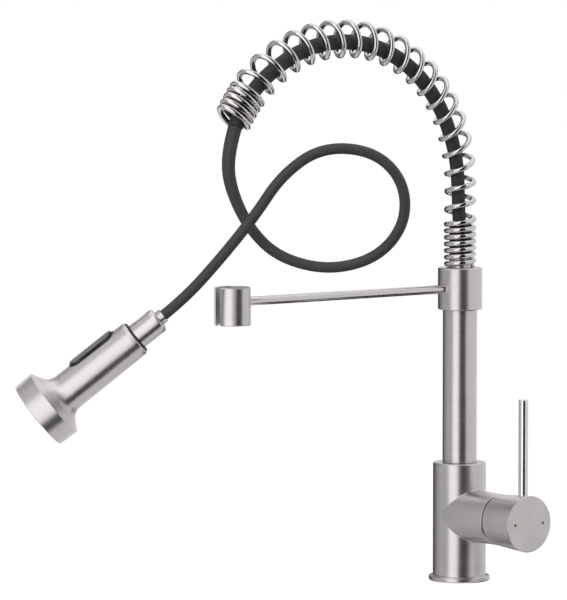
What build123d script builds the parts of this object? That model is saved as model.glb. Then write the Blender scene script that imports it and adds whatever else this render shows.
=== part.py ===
from build123d import *
import os
from math import acos, atan2, cos, hypot, pi, radians, sin, tan

# Pull-out spring kitchen faucet, millimetres, Z up.
# The origin is the centre of the flange's underside, on the deck.
# The spout's arm reaches towards -Y and the handle points towards +X.

# Clearances: a close fit, a free gap, and the bevel of a plain edge
RUN = 0.05
GAP = 0.3
EDGE = 0.5

# Housing of the cartridge, on the handle's axis along X
HANDLE_Z = 54.5
POCKET_R = 17.6
POCKET_FLOOR = 22.0
HOUSING_WALL = 3.1
HOUSING_TAPER = 0.8
HOUSING_END = 52.6
HOUSING_END_R = POCKET_R + HOUSING_WALL
HOUSING_ROOT_R = HOUSING_END_R + HOUSING_TAPER
DUST_RING_W = 2.0
DUST_RING_R = POCKET_R + 1.4
DUST_RING_REAR = HOUSING_END - GAP - DUST_RING_W

# Cartridge, its nut and its stem
NUT_LENGTH = 8.0
NUT_FRONT = DUST_RING_REAR - GAP
CARTRIDGE_R = POCKET_R - 2 * RUN
CARTRIDGE_FOOT = POCKET_FLOOR + 0.2
CARTRIDGE_SHOULDER = NUT_FRONT - NUT_LENGTH
CARTRIDGE_NECK_R = 12.0
CARTRIDGE_TOP = CARTRIDGE_SHOULDER + 2.0
MIXED_DROP = 11.0
SEAL_MID_R = 4.6
SEAL_SECTION_R = 0.65
SEAL_SEAT_R = SEAL_MID_R + SEAL_SECTION_R + 0.15
STEM_R = 5.0
STEM_FOOT = CARTRIDGE_TOP - 7.5
HUB_R = 9.0
HUB_FRONT = HOUSING_END + 4.4
HUB_REAR = HUB_FRONT - 11.0
NOTCH_CIRCLE = (HUB_R + GAP + POCKET_R) / 2
FINGER_R = 2.5
FINGER_TIP = HOUSING_END + 2 * GAP

# Handle cap, its tilt pin and the lever
CAP_REAR = HOUSING_END + 1.4
CAP_WALL = 2.1
CAP_CAVITY_R = HOUSING_END_R - CAP_WALL
CAP_FACE_R = HOUSING_END_R + 2.2
TILT_X = CAP_REAR + 10.0
TILT_DROP = CAP_CAVITY_R - 4.1
TILT_PIN_R = 1.5
EAR_R = 3.0
EAR_OUT = 5.5
LUG_HALF = 2.8
LUG_R = 3.2
CAP_SOLID = TILT_X + 8.0
LEVER_R = 3.9
LEVER_X = CAP_SOLID + 9.0
LEVER_TOP = 154.8
LEVER_FOOT = 8.0
CAP_FACE = LEVER_X + 7.6
SET_SCREW_R = 2.0
SET_SCREW_RISE = 14.0
DOT_R = 1.2
DOT_SPREAD = CAP_FACE_R - 8.4
DOT_SINK = 0.6

# Hose, in its first and thicker part and in its free part
HOSE_R = 5.8
FREE_HOSE_R = 4.3
HOSE_FOOT = 12.0
TAIL_R = HOSE_R + 0.7
TAIL_BORE = 3.5

# Upright of the mixer body, deck flange and inlet block
BODY_R = HOUSING_ROOT_R + 0.2
BODY_TOP = 96.8
JOINT_FILLET = 0.8
FLANGE_R = BODY_R + 3.3
FLANGE_H = 4.0
BASE_SEAL_R = FLANGE_R - 1.5
BASE_SEAL_BORE = FLANGE_R - 3.8
BASE_SEAL_H = 1.5
BLOCK_R = BODY_R - 2.2
BLOCK_H = 14.0
PORT_R = 5.0
PORT_DEPTH = 11.0
PORT_CIRCLE = 13.0
PORT_ANGLES = (60, 0, -60)
STUD_R = 4.0
CHANNEL_R = 3.25

# Column tube, the spigot that it turns on, and its neck
COLUMN_R = 14.0
COLUMN_WALL = 1.8
COLUMN_BORE = COLUMN_R - COLUMN_WALL
COLUMN_FOOT = BODY_TOP + GAP
COLUMN_TOP = 222.0
SPIGOT_R = COLUMN_BORE + 0.1
SPIGOT_BORE = SPIGOT_R + GAP
SPIGOT_FOOT = BODY_TOP - 31.8
SPIGOT_HOSE_BORE = HOSE_R + 0.6
SPIGOT_SHANK = 18.0
LOCK_SCREW_R = 2.0
LOCK_GROOVE = SPIGOT_FOOT + 11.3
LOCK_GROOVE_DEPTH = 1.3
SEAL_GROOVES = (SPIGOT_FOOT + 16.5, SPIGOT_FOOT + 21.0)
SEAL_GROOVE_DEPTH = 2.0
O_RING_SECTION_R = 1.1
GROOVE_HALF = O_RING_SECTION_R + 0.2
GUIDE_GROOVES = (SPIGOT_FOOT + 2.0, BODY_TOP - 7.0)
GUIDE_H = 4.0
GUIDE_DEPTH = 1.1
NECK_R = COLUMN_R - 2.0
NECK_BORE = HOSE_R + 0.8
NECK_SHANK = 16.0

# Collar of the arm and the spring's seat that it turns round
COLLAR_R = COLUMN_R + 4.1
COLLAR_H = 34.0
COLLAR_FOOT = COLUMN_TOP + EDGE
LINER_R = NECK_R + 1.5
WASHER_H = 1.0
SEAT_R = COLLAR_R - 3.1
SEAT_H = 2.9
SEAT_TOP = COLLAR_FOOT + COLLAR_H
SEAT_FOOT = SEAT_TOP - SEAT_H
SHANK_R = HOSE_R + 2.7
SHANK_LENGTH = 8.0

# Line of the hose over the column: straight, then two arcs
ARCH_START = SEAT_TOP + 68.2
ARCH_R = 122.0
HOSE_TURN = 130.0
HOSE_END_R = 95.0
HOSE_HEADING = 160.0
FIRST_RUN = 21.5
LAST_RUN = 24.0

# Spring, measured along the arch from the height SPRING_ZERO.
# Each pair gives a turn number and the pitch or the coil's mid radius there.
WIRE_R = 2.0
WIRE_SIDES = 6
SPRING_ZERO = SEAT_TOP - 1.5
TURN_ZERO = WIRE_R
FIRST_TURN = 0.4
SEAT_TURNS = 7.7
SEAT_PITCH = 2 * WIRE_R + 1.13
OPEN_PITCHES = ((0, SEAT_PITCH), (SEAT_TURNS, SEAT_PITCH), (8, 14), (12, 16.3), (17, 17), (22, 16.7))
LAST_OPEN_PITCH = 16.4
CLOSE_HEADING = 138.0
END_TURNS = 4.4
END_PITCHES = (2 * WIRE_R + 2.4, 2 * WIRE_R + 1.6)
SEAT_COIL_R = 11.05
OPEN_COIL_R = 12.4
END_COIL_R = 12.0
SEAT_SPIGOT_R = SEAT_COIL_R - WIRE_R - 0.15
SEAT_SPIGOT_H = 12.0
LEAN = 4.0
LEAN_START = 20.0
LEAN_HALF_WAVE = 73.0

# Arm and docking ring, the ring under the spring's lower end
ARM_Z = COLLAR_FOOT + 17.1
ARM_ROD_R = 3.5
ARM_PIN_R = 2.0
GRUB_SCREW_R = 1.5
RING_LEAD = 2.9
RING_R = 14.5
RING_BORE = RING_R - 2.5
RING_LINER = 1.0
RING_H = 30.0
RING_FOOT = ARM_Z - 18.1
RING_TOP = RING_FOOT + RING_H
RING_SLOT = 5.6

# Spray head, along its own axis from the black ring at the grip's top
HEAD_AXIS = Vector(-0.475, -0.620, -0.625).normalized()
HEAD_ORIGIN = Vector(-19.5, -311.2, 214.7)
BUTTON_SIDE = Vector(-0.283, -0.560, 0.779)
GRIP_R = 15.5
GRIP_TOP_R = GRIP_R - 1.0
GRIP_WALL = 2.8
GRIP_TOP_WALL = 2.2
GRIP_END = 68.0
FLARE_R = 11.0
BELL_REAR = GRIP_END + 14.2
BELL_REAR_R = 28.9
BELL_FACE = BELL_REAR + 16.1
BELL_FACE_R = BELL_REAR_R - 0.6
FACE_PLATE_R = BELL_FACE_R - 2.1

# Joint of the hose and the spray head
HOSE_INTO_HEAD = 25.0
NUT_R = 10.3
NUT_TOP = -23.8
NUT_BORE = 7.6
NUT_FLAT = 0.9
NUT_FLOOR = -19.5
GASKET_H = 1.0
HOSE_NECK_R = 4.7
HOSE_FLANGE_R = NUT_BORE - GAP
HOSE_FLANGE = (-19.3, -16.3)
HOSE_BORE = 3.0
FERRULE_R = 5.75
FERRULE_H = 4.0
WASHER = (-16.2, -14.7)
CONNECTOR_R = 11.0
CONNECTOR_END = 5.0
VALVE_R = 4.0
VALVE = (4.0, 14.0)

# Button, its surround and the diverter that it drives
BUTTON_CENTRE = 32.7
BUTTON_LENGTH = 41.1
BUTTON_WIDTH = 13.0
BUTTON_TOP = GRIP_R + 2.3
BUTTON_FOOT = GRIP_R - 6.0
BUTTON_PIN_R = 1.25
BUTTON_PIN_HEIGHT = BUTTON_FOOT + 2.0
SURROUND_WALL = 0.9
SURROUND_TOP = GRIP_R + 0.1
CORE_R = 7.0
CORE_START = 17.0
CORE_END = GRIP_END - 2.0
CORE_FLANGE_R = GRIP_R - GRIP_WALL - EDGE
CORE_BORE = 2.6
PLUNGER_R = 2.0
PLUNGER_STATION = 45.0

# Spray face, measured back from the bell's face
AERATOR_R = 9.9
AERATOR_REAR = BELL_FACE - 7.3
PLATE_REAR = BELL_FACE - 3.7
PLATE_FRONT = BELL_FACE - 0.8
MAT_REAR = BELL_FACE - 5.8
MAT_H = 2.0
NOZZLE_R = 0.9
NOZZLE_RINGS = ((8, AERATOR_R + 5.1), (14, FACE_PLATE_R - 5.2))

STAND = (Align.CENTER, Align.CENTER, Align.MIN)


def rod(radius, low, high):
    """Plain cylinder about Z."""
    return Pos(0, 0, low) * Cylinder(radius, high - low, align=STAND)


def tube(outer, inner, low, high):
    """Plain tube about Z."""
    return rod(outer, low, high) - rod(inner, low, high)


def turned(*outline):
    """Solid turned about Z from its outline of (radius, height) points."""
    corners = [(radius, 0, height) for radius, height in outline]
    return revolve(make_face(Polyline(*corners, close=True)), Axis.Z)


def bevelled(radius, low, high, bevel=EDGE):
    """Cylinder about Z with both rims bevelled."""
    return turned(
        (0, low),
        (radius - bevel, low),
        (radius, low + bevel),
        (radius, high - bevel),
        (radius - bevel, high),
        (0, high),
    )


def ring_seal(mid_radius, section_radius, height):
    """O-ring about Z, with the eight flats of a pressed section."""
    section = RegularPolygon(section_radius, 8, major_radius=False, rotation=22.5)
    return revolve(Plane.XZ * Pos(mid_radius, height) * section, Axis.Z)


def on_handle_axis(shape):
    """Lay a piece that was made about Z along the handle's axis."""
    return Pos(0, 0, HANDLE_Z) * Rot(0, 90, 0) * shape


def along_x(x, y, z, shape):
    """Lay a piece that was made about Z along X, from a given place."""
    return Pos(x, y, z) * Rot(0, 90, 0) * shape


def on_arm(shape):
    """Lay a piece that was made about Z along the arm, towards -Y."""
    return Pos(0, 0, ARM_Z) * Rot(90, 0, 0) * shape


def between(stations, position):
    """Value at a position, straight between (position, value) stations."""
    for (low, first), (high, last) in zip(stations, stations[1:]):
        if position <= high:
            return first + (last - first) * (position - low) / (high - low)
    return stations[-1][1]


# Mixer


def port_centres():
    """Places of the hot, mixed and cold ports on the block's underside."""
    return [
        (PORT_CIRCLE * cos(radians(angle)), PORT_CIRCLE * sin(radians(angle)))
        for angle in PORT_ANGLES
    ]


def deck_flange():
    seal_groove = tube(BASE_SEAL_R + 2 * RUN, BASE_SEAL_BORE - 2 * RUN, -1, BASE_SEAL_H)
    rim = turned(
        (0, 0),
        (FLANGE_R - 0.8, 0),
        (FLANGE_R, 0.8),
        (FLANGE_R, FLANGE_H - 0.6),
        (FLANGE_R - 0.6, FLANGE_H),
        (0, FLANGE_H),
    )
    return rim - rod(BLOCK_R + RUN, -1, FLANGE_H + 1) - seal_groove


def base_seal():
    return tube(BASE_SEAL_R, BASE_SEAL_BORE, 0, BASE_SEAL_H)


def inlet_block():
    block = rod(BLOCK_R, 0, BLOCK_H) - rod(TAIL_R + 2 * RUN, -1, BLOCK_H + 1)
    for x, y in port_centres():
        block -= Pos(x, y, 0) * rod(PORT_R, -1, PORT_DEPTH)
        block -= Pos(x, y, 0) * rod(CHANNEL_R, 0, BLOCK_H + 1)
    return block - Pos(-PORT_CIRCLE, 0, 0) * rod(STUD_R, -1, PORT_DEPTH)


def body_casting():
    """Upright and handle housing in one, with a small fillet where they meet."""
    upright = turned(
        (0, FLANGE_H),
        (BODY_R, FLANGE_H),
        (BODY_R, BODY_TOP - EDGE),
        (BODY_R - EDGE, BODY_TOP),
        (0, BODY_TOP),
    )
    housing = turned(
        (0, 0),
        (HOUSING_ROOT_R, 0),
        (HOUSING_END_R, HOUSING_END - EDGE),
        (HOUSING_END_R - EDGE, HOUSING_END),
        (0, HOUSING_END),
    )
    casting = upright + on_handle_axis(housing)
    joint = [edge for edge in casting.edges() if edge.geom_type == GeomType.BSPLINE]
    return fillet(joint, JOINT_FILLET)


def mixer_body():
    body = body_casting()
    body -= rod(BLOCK_R, FLANGE_H - 1, BLOCK_H)
    body -= rod(TAIL_R + 2 * RUN, 0, SPIGOT_FOOT)
    body -= rod(SPIGOT_BORE, SPIGOT_FOOT - 1, BODY_TOP + 1)
    body -= on_handle_axis(rod(POCKET_R, POCKET_FLOOR, HOUSING_END + 1))
    body -= on_handle_axis(rod(DUST_RING_R, DUST_RING_REAR, HOUSING_END + 1))
    for x, y in port_centres():
        rise = HANDLE_Z if y else HANDLE_Z - MIXED_DROP
        body -= Pos(x, y, 0) * rod(CHANNEL_R, BLOCK_H - 1, rise)
        body -= along_x(0, y, rise, rod(CHANNEL_R, x, POCKET_FLOOR + 1))
        body -= Pos(x, y, rise) * Sphere(CHANNEL_R)
    return body - at_lock_screw(rod(LOCK_SCREW_R + RUN, SPIGOT_R, BODY_R + 1))


def at_lock_screw(shape):
    """Lay a piece that was made about Z along +Y, at the spigot's lock groove."""
    return Pos(0, 0, LOCK_GROOVE) * Rot(-90, 0, 0) * shape


def spout_lock_screw():
    tip_r = LOCK_SCREW_R / 2
    return at_lock_screw(
        turned(
            (0, SPIGOT_R - 0.9),
            (tip_r, SPIGOT_R - 0.9),
            (tip_r, SPIGOT_BORE + 0.6),
            (LOCK_SCREW_R, SPIGOT_BORE + 0.6 + tip_r),
            (LOCK_SCREW_R, BODY_R - 0.9),
            (0, BODY_R - 0.9),
        )
    )


def cartridge_ports():
    """Places of the cartridge's ports, as (down, sideways) from the handle's axis."""
    return [(MIXED_DROP if y == 0 else 0, y) for x, y in port_centres()]


def cartridge():
    block = turned(
        (0, CARTRIDGE_FOOT),
        (CARTRIDGE_R, CARTRIDGE_FOOT),
        (CARTRIDGE_R, CARTRIDGE_SHOULDER),
        (CARTRIDGE_NECK_R, CARTRIDGE_SHOULDER),
        (CARTRIDGE_NECK_R, CARTRIDGE_TOP),
        (0, CARTRIDGE_TOP),
    )
    block -= rod(STEM_R + RUN, STEM_FOOT - EDGE, CARTRIDGE_TOP + 1)
    seal_seat = CARTRIDGE_FOOT + 2 * SEAL_SECTION_R - 2 * RUN
    for down, side in cartridge_ports():
        block -= Pos(down, side, 0) * rod(CHANNEL_R, CARTRIDGE_FOOT - 1, CARTRIDGE_FOOT + 4)
        block -= Pos(down, side, 0) * rod(SEAL_SEAT_R, CARTRIDGE_FOOT - 1, seal_seat)
    return on_handle_axis(block)


def cartridge_seals():
    seal = ring_seal(SEAL_MID_R, SEAL_SECTION_R, POCKET_FLOOR + SEAL_SECTION_R + RUN)
    seals = [Pos(down, side, 0) * seal for down, side in cartridge_ports()]
    return on_handle_axis(Compound(children=seals))


def cartridge_nut():
    nut = rod(POCKET_R, CARTRIDGE_SHOULDER, NUT_FRONT)
    nut -= rod(CARTRIDGE_NECK_R + RUN, 0, CARTRIDGE_TOP + RUN)
    nut -= rod(HUB_R + GAP, 0, NUT_FRONT + 1)
    for turn in range(6):
        nut -= Rot(0, 0, 60 * turn) * Pos(NOTCH_CIRCLE, 0, NUT_FRONT - 2) * Box(4, 3, 4, align=STAND)
    return on_handle_axis(nut)


def dust_ring():
    ring = tube(DUST_RING_R, POCKET_R + 0.2, DUST_RING_REAR, DUST_RING_REAR + DUST_RING_W)
    return on_handle_axis(ring)


# Handle


def stem_carrier():
    carrier = rod(HUB_R, HUB_REAR, HUB_FRONT) + rod(STEM_R, STEM_FOOT, HUB_REAR + 1)
    carrier -= Pos(-3, 0, HUB_REAR) * Box(12, 2 * LUG_HALF, 20, align=STAND)
    outline = make_face(
        Polyline(
            (HUB_FRONT - 5, -HUB_R + 1),
            (HUB_FRONT, -HUB_R),
            (TILT_X - 2.5, -TILT_DROP - 1.7),
            (TILT_X + 2.2, -TILT_DROP + 2),
            (HUB_FRONT, -3),
            (HUB_FRONT - 5, -3),
            close=True,
        )
    )
    outline += Pos(TILT_X, -TILT_DROP) * Circle(EAR_R)
    outline -= Pos(TILT_X, -TILT_DROP) * Circle(TILT_PIN_R)
    ear = Rot(90, 0, 0) * extrude(outline, EAR_OUT - LUG_HALF - 0.2)
    near = Pos(0, EAR_OUT, HANDLE_Z) * ear
    far = Pos(0, -LUG_HALF - 0.2, HANDLE_Z) * ear
    return on_handle_axis(carrier) + near + far


def tilt_pin():
    pin = rod(TILT_PIN_R, -EAR_OUT, EAR_OUT)
    return Pos(TILT_X, 0, HANDLE_Z - TILT_DROP) * Rot(90, 0, 0) * pin


def cap_lug():
    """Lug inside the cap that the tilt pin passes through."""
    reach = CAP_SOLID + 1 - TILT_X
    lug = Pos(TILT_X + reach / 2, -TILT_DROP) * Rectangle(reach, 2 * LUG_R)
    lug += Pos(TILT_X, -TILT_DROP) * Circle(LUG_R)
    lug -= Pos(TILT_X, -TILT_DROP) * Circle(TILT_PIN_R + RUN)
    width = 2 * (LUG_HALF - 0.2)
    return Pos(0, width / 2, HANDLE_Z) * Rot(90, 0, 0) * extrude(lug, width)


def lever_countersink():
    return turned(
        (0, CAP_FACE_R - 2.7),
        (LEVER_R + 0.4, CAP_FACE_R - 2.7),
        (LEVER_R + 4.4, CAP_FACE_R + EDGE),
        (0, CAP_FACE_R + EDGE),
    )


def handle_cap():
    outer = turned(
        (0, CAP_REAR),
        (HOUSING_END_R - EDGE, CAP_REAR),
        (HOUSING_END_R, CAP_REAR + EDGE),
        (CAP_FACE_R, CAP_FACE - 0.4),
        (CAP_FACE_R - 0.4, CAP_FACE),
        (0, CAP_FACE),
    )
    cap = on_handle_axis(outer - rod(CAP_CAVITY_R, CAP_REAR - 1, CAP_SOLID)) + cap_lug()
    lever_hole = rod(LEVER_R + RUN, LEVER_FOOT, CAP_FACE_R + 1) + lever_countersink()
    cap -= Pos(LEVER_X, 0, HANDLE_Z) * lever_hole
    cap -= on_handle_axis(rod(FINGER_R + RUN, CAP_SOLID - 1, CAP_SOLID + 5))
    cap -= set_screw_shape()
    for side in (-1, 1):
        cap -= at_dot(side, rod(DOT_R, 0, 2))
    return cap


def lever():
    return Pos(LEVER_X, 0, HANDLE_Z) * bevelled(LEVER_R, LEVER_FOOT, LEVER_TOP - HANDLE_Z, 0.4)


def set_screw_shape():
    return along_x(0, 0, HANDLE_Z + SET_SCREW_RISE, rod(SET_SCREW_R, CAP_SOLID, LEVER_X - LEVER_R))


def lever_set_screw():
    return set_screw_shape()


def at_dot(side, shape):
    """Lay a piece that was made about Z on the cap's face at a dot's place."""
    return along_x(CAP_FACE - DOT_SINK, side * DOT_SPREAD, HANDLE_Z, shape)


def marker_dot(side):
    return at_dot(side, rod(DOT_R, 0, DOT_SINK + RUN))


def drive_finger():
    return on_handle_axis(bevelled(FINGER_R, FINGER_TIP, CAP_SOLID + 5, 0.6))


# Column


def column_spigot():
    spigot = turned(
        (SPIGOT_HOSE_BORE, SPIGOT_FOOT + GAP),
        (SPIGOT_R - 1, SPIGOT_FOOT + GAP),
        (SPIGOT_R, SPIGOT_FOOT + GAP + 1),
        (SPIGOT_R, COLUMN_FOOT),
        (COLUMN_BORE, COLUMN_FOOT),
        (COLUMN_BORE, COLUMN_FOOT + SPIGOT_SHANK),
        (SPIGOT_HOSE_BORE, COLUMN_FOOT + SPIGOT_SHANK),
    )
    for height in GUIDE_GROOVES:
        spigot -= spigot_groove(GUIDE_DEPTH, height, height + GUIDE_H)
    for height in SEAL_GROOVES:
        spigot -= spigot_groove(SEAL_GROOVE_DEPTH, height - GROOVE_HALF, height + GROOVE_HALF)
    return spigot - spigot_groove(LOCK_GROOVE_DEPTH, LOCK_GROOVE - GROOVE_HALF, LOCK_GROOVE + GROOVE_HALF)


def spigot_groove(depth, low, high):
    """Ring to cut from the spigot's outside."""
    return tube(SPIGOT_R + 1, SPIGOT_R - depth, low, high)


def spout_guide_rings():
    inner = SPIGOT_R - GUIDE_DEPTH + RUN
    ring = tube(SPIGOT_BORE - RUN, inner, 2 * RUN, GUIDE_H - 2 * RUN)
    return Compound(children=[Pos(0, 0, height) * ring for height in GUIDE_GROOVES])


def spout_o_rings():
    mid_radius = SPIGOT_R - SEAL_GROOVE_DEPTH + O_RING_SECTION_R
    rings = [ring_seal(mid_radius, O_RING_SECTION_R, height) for height in SEAL_GROOVES]
    return Compound(children=rings)


def glide_washer():
    return tube(COLUMN_R - 0.4, SPIGOT_BORE + 0.15, BODY_TOP, COLUMN_FOOT - RUN)


def column_tube():
    return tube(COLUMN_R, COLUMN_BORE, COLUMN_FOOT, COLUMN_TOP)


def column_neck():
    foot = COLUMN_TOP - NECK_SHANK
    return turned(
        (NECK_BORE, foot),
        (COLUMN_BORE, foot),
        (COLUMN_BORE, COLUMN_TOP),
        (NECK_R, COLUMN_TOP),
        (NECK_R, SEAT_FOOT),
        (SHANK_R, SEAT_FOOT),
        (SHANK_R, SEAT_FOOT - SHANK_LENGTH),
        (NECK_BORE, SEAT_FOOT - SHANK_LENGTH),
    )


def spring_seat():
    bore = HOSE_R + GAP
    return turned(
        (bore, SEAT_FOOT - SHANK_LENGTH + 2 * RUN),
        (SHANK_R, SEAT_FOOT - SHANK_LENGTH + 2 * RUN),
        (SHANK_R, SEAT_FOOT),
        (SEAT_R, SEAT_FOOT),
        (SEAT_R, SEAT_TOP),
        (SEAT_SPIGOT_R, SEAT_TOP),
        (SEAT_SPIGOT_R, SEAT_TOP + SEAT_SPIGOT_H - 1),
        (SEAT_SPIGOT_R - 1, SEAT_TOP + SEAT_SPIGOT_H),
        (bore, SEAT_TOP + SEAT_SPIGOT_H),
    )


# Arm


def in_collar_wall(shape):
    """Stand a piece that was made about Z in the middle of the collar's wall, under the arm."""
    return Pos(0, -(LINER_R + COLLAR_R) / 2, 0) * shape


def arm_collar():
    collar = bevelled(COLLAR_R, COLLAR_FOOT, SEAT_TOP)
    collar -= rod(LINER_R, COLLAR_FOOT - 1, SEAT_TOP + 1)
    collar -= rod(COLUMN_R + 0.2, COLLAR_FOOT - 1, COLUMN_TOP + WASHER_H + RUN)
    collar -= rod(SEAT_R + GAP, SEAT_FOOT - 0.4, SEAT_TOP + 1)
    collar -= on_arm(rod(ARM_ROD_R + RUN, LINER_R - 1, COLLAR_R + 2))
    return collar - in_collar_wall(rod(GRUB_SCREW_R, COLLAR_FOOT - 1, ARM_Z))


def collar_liner():
    return tube(LINER_R, NECK_R + RUN, COLUMN_TOP + WASHER_H + 0.1, SEAT_FOOT - 0.4)


def collar_washer():
    return tube(COLUMN_R - 0.1, NECK_R + 0.1, COLUMN_TOP, COLUMN_TOP + WASHER_H)


def arm_rod():
    reach = -ring_y() - RING_R
    bar = rod(ARM_ROD_R, LINER_R + GAP, reach + 6) - at_ring_on_arm(Cylinder(RING_R, 40))
    return on_arm(bar + rod(ARM_PIN_R, reach - 2, reach + 1.4))


def at_ring_on_arm(shape):
    """Place a piece that stands about Z at the ring's axis, before it is laid on the arm."""
    return Pos(0, 0, -ring_y()) * Rot(90, 0, 0) * shape


def arm_grub_screw():
    return in_collar_wall(rod(GRUB_SCREW_R, COLLAR_FOOT + 5.5, ARM_Z - ARM_ROD_R))


def ring_y():
    """Place of the docking ring's axis, a little outside the hose's end."""
    return arch_point(HOSE_HEADING)[0].Y - RING_LEAD


def ring_slot():
    return Pos(0, ring_y() - RING_R, RING_FOOT - 1) * Box(RING_SLOT, 2 * RING_R, 40, align=STAND)


def docking_ring():
    ring = bevelled(RING_R, RING_FOOT, RING_TOP) - rod(RING_BORE, RING_FOOT - 1, RING_TOP + 1)
    ring = Pos(0, ring_y(), 0) * ring - ring_slot()
    wall = -ring_y() - RING_R
    return ring - on_arm(rod(ARM_PIN_R + RUN, wall - 1, wall + 1.5))


def ring_liner():
    liner = tube(RING_BORE, RING_BORE - RING_LINER, RING_FOOT + 0.8, RING_TOP - 0.8)
    return Pos(0, ring_y(), 0) * liner - ring_slot()


# Hose


def arch_point(heading):
    """Point of the hose's line and its direction where it has turned by heading degrees."""
    first = radians(min(heading, HOSE_TURN))
    y = -ARCH_R * (1 - cos(first))
    z = ARCH_START + ARCH_R * sin(first)
    last = radians(heading)
    if heading > HOSE_TURN:
        y -= HOSE_END_R * (cos(first) - cos(last))
        z += HOSE_END_R * (sin(last) - sin(first))
    return Vector(0, y, z), Vector(0, -sin(last), cos(last))


def arch_arc(first, last):
    """Arc of the hose's line from one heading to another."""
    return ThreePointArc(*[arch_point(heading)[0] for heading in (first, (first + last) / 2, last)])


def report_tube(name, solid, path, radius):
    share = solid.volume / (pi * radius**2 * path.length)
    print(name, "length", round(path.length, 1), "volume over section times length", round(share, 4))


def spring_hose():
    """The hose from its tail fitting up the column and along the arch to the spring's end."""
    path = Wire(
        [
            Line((0, 0, HOSE_FOOT), (0, 0, ARCH_START)),
            arch_arc(0, HOSE_TURN),
            arch_arc(HOSE_TURN, HOSE_HEADING),
        ]
    )
    hose = sweep(Plane.XY.offset(HOSE_FOOT) * Circle(HOSE_R), path=path)
    report_tube("spring_hose", hose, path, HOSE_R)
    return hose


def hose_route():
    """The free hose's points, from the spring's end round its loop to the spray head."""
    leave, direction = arch_point(HOSE_HEADING)
    return [
        leave,
        leave + direction * FIRST_RUN,
        Vector(2, -236, 332),
        Vector(9, -223, 299),
        Vector(25, -205, 275),
        Vector(51, -174, 265),
        Vector(77, -145, 276),
        Vector(92, -130, 304),
        Vector(92, -133, 337),
        Vector(79, -153, 360),
        Vector(57, -187, 363),
        Vector(41, -214, 341),
        Vector(31, -233, 309),
        Vector(17, -257, 275),
        HEAD_ORIGIN - HEAD_AXIS * (HOSE_INTO_HEAD + LAST_RUN),
        HEAD_ORIGIN - HEAD_AXIS * HOSE_INTO_HEAD,
    ]


def corner_radii(points):
    """For each corner the arc that 0.45 of its shorter run allows."""
    radii = []
    for before, corner, after in zip(points, points[1:], points[2:]):
        turn = radians((corner - before).get_angle(after - corner))
        shorter = min((corner - before).length, (after - corner).length)
        radii.append(0.45 * shorter / tan(turn / 2))
    return radii


def free_hose():
    points = hose_route()
    radii = corner_radii(points)
    print("free_hose runs", [round((b - a).length, 1) for a, b in zip(points, points[1:])])
    print("free_hose radii", [round(radius, 1) for radius in radii])
    path = FilletPolyline(*points, radius=radii).wire()
    start = Plane(origin=points[0], z_dir=points[1] - points[0])
    hose = sweep(start * Circle(FREE_HOSE_R), path=path)
    report_tube("free_hose", hose, path, FREE_HOSE_R)
    return hose


def hose_tail_fitting():
    ferrule_top = HOSE_FOOT + 18
    return turned(
        (TAIL_BORE, 1),
        (TAIL_R - 1, 1),
        (TAIL_R, 2),
        (TAIL_R, ferrule_top),
        (HOSE_R + RUN, ferrule_top),
        (HOSE_R + RUN, HOSE_FOOT),
        (TAIL_BORE, HOSE_FOOT),
    )


# Spring


def length_over(stations):
    """Arc length along the arch between the first and the last pair."""
    return sum(
        (first + last) / 2 * (high - low)
        for (low, first), (high, last) in zip(stations, stations[1:])
    )


def close_turn():
    """The turn, to a tenth, where the open part has come to its heading on the arch."""
    last_turn, last_pitch = OPEN_PITCHES[-1]
    end = ARCH_START - SPRING_ZERO + ARCH_R * radians(CLOSE_HEADING)
    left = end - TURN_ZERO - length_over(OPEN_PITCHES)
    return last_turn + round(2 * left / (last_pitch + LAST_OPEN_PITCH), 1)


CLOSE_TURN = close_turn()
LAST_TURN = CLOSE_TURN + END_TURNS
PITCHES = OPEN_PITCHES + (
    (CLOSE_TURN, LAST_OPEN_PITCH),
    (CLOSE_TURN + 0.4, END_PITCHES[0]),
    (LAST_TURN + 0.1, END_PITCHES[1]),
)
COIL_RADII = (
    (0, SEAT_COIL_R),
    (SEAT_TURNS, SEAT_COIL_R),
    (11, OPEN_COIL_R),
    (CLOSE_TURN, OPEN_COIL_R),
    (CLOSE_TURN + 1, END_COIL_R),
    (LAST_TURN + 0.1, END_COIL_R),
)


def station_lengths():
    """Arc length along the arch for each hundredth of a turn."""
    step = 0.01
    lengths = [TURN_ZERO]
    while len(lengths) <= (LAST_TURN + 1) / step:
        turn = (len(lengths) - 0.5) * step
        lengths.append(lengths[-1] + between(PITCHES, turn) * step)
    return lengths


SPRING_LENGTHS = station_lengths()


def wire_point(turn):
    """Point of the wire's centre line, right-handed, its coils leaning as their weight pulls them."""
    hundredth = turn * 100
    index = int(hundredth)
    low, high = SPRING_LENGTHS[index], SPRING_LENGTHS[index + 1]
    length = low + (high - low) * (hundredth - index)
    straight = ARCH_START - SPRING_ZERO
    heading = max(0, length - straight) / ARCH_R * 180 / pi
    if heading > LEAN_START:
        length += LEAN * sin(pi * (heading - LEAN_START) / LEAN_HALF_WAVE) * cos(2 * pi * turn)
    angle = max(0, length - straight) / ARCH_R
    rise = min(length, straight)
    centre = Vector(0, -ARCH_R * (1 - cos(angle)), SPRING_ZERO + rise + ARCH_R * sin(angle))
    outward = Vector(0, cos(angle), sin(angle))
    sideways = Vector(-1, 0, 0)
    radius = between(COIL_RADII, turn)
    return centre + outward * (radius * cos(2 * pi * turn)) + sideways * (radius * sin(2 * pi * turn))


def wire_direction(turn):
    small = 0.002
    return (wire_point(turn + small) - wire_point(turn - small)).normalized()


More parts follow.
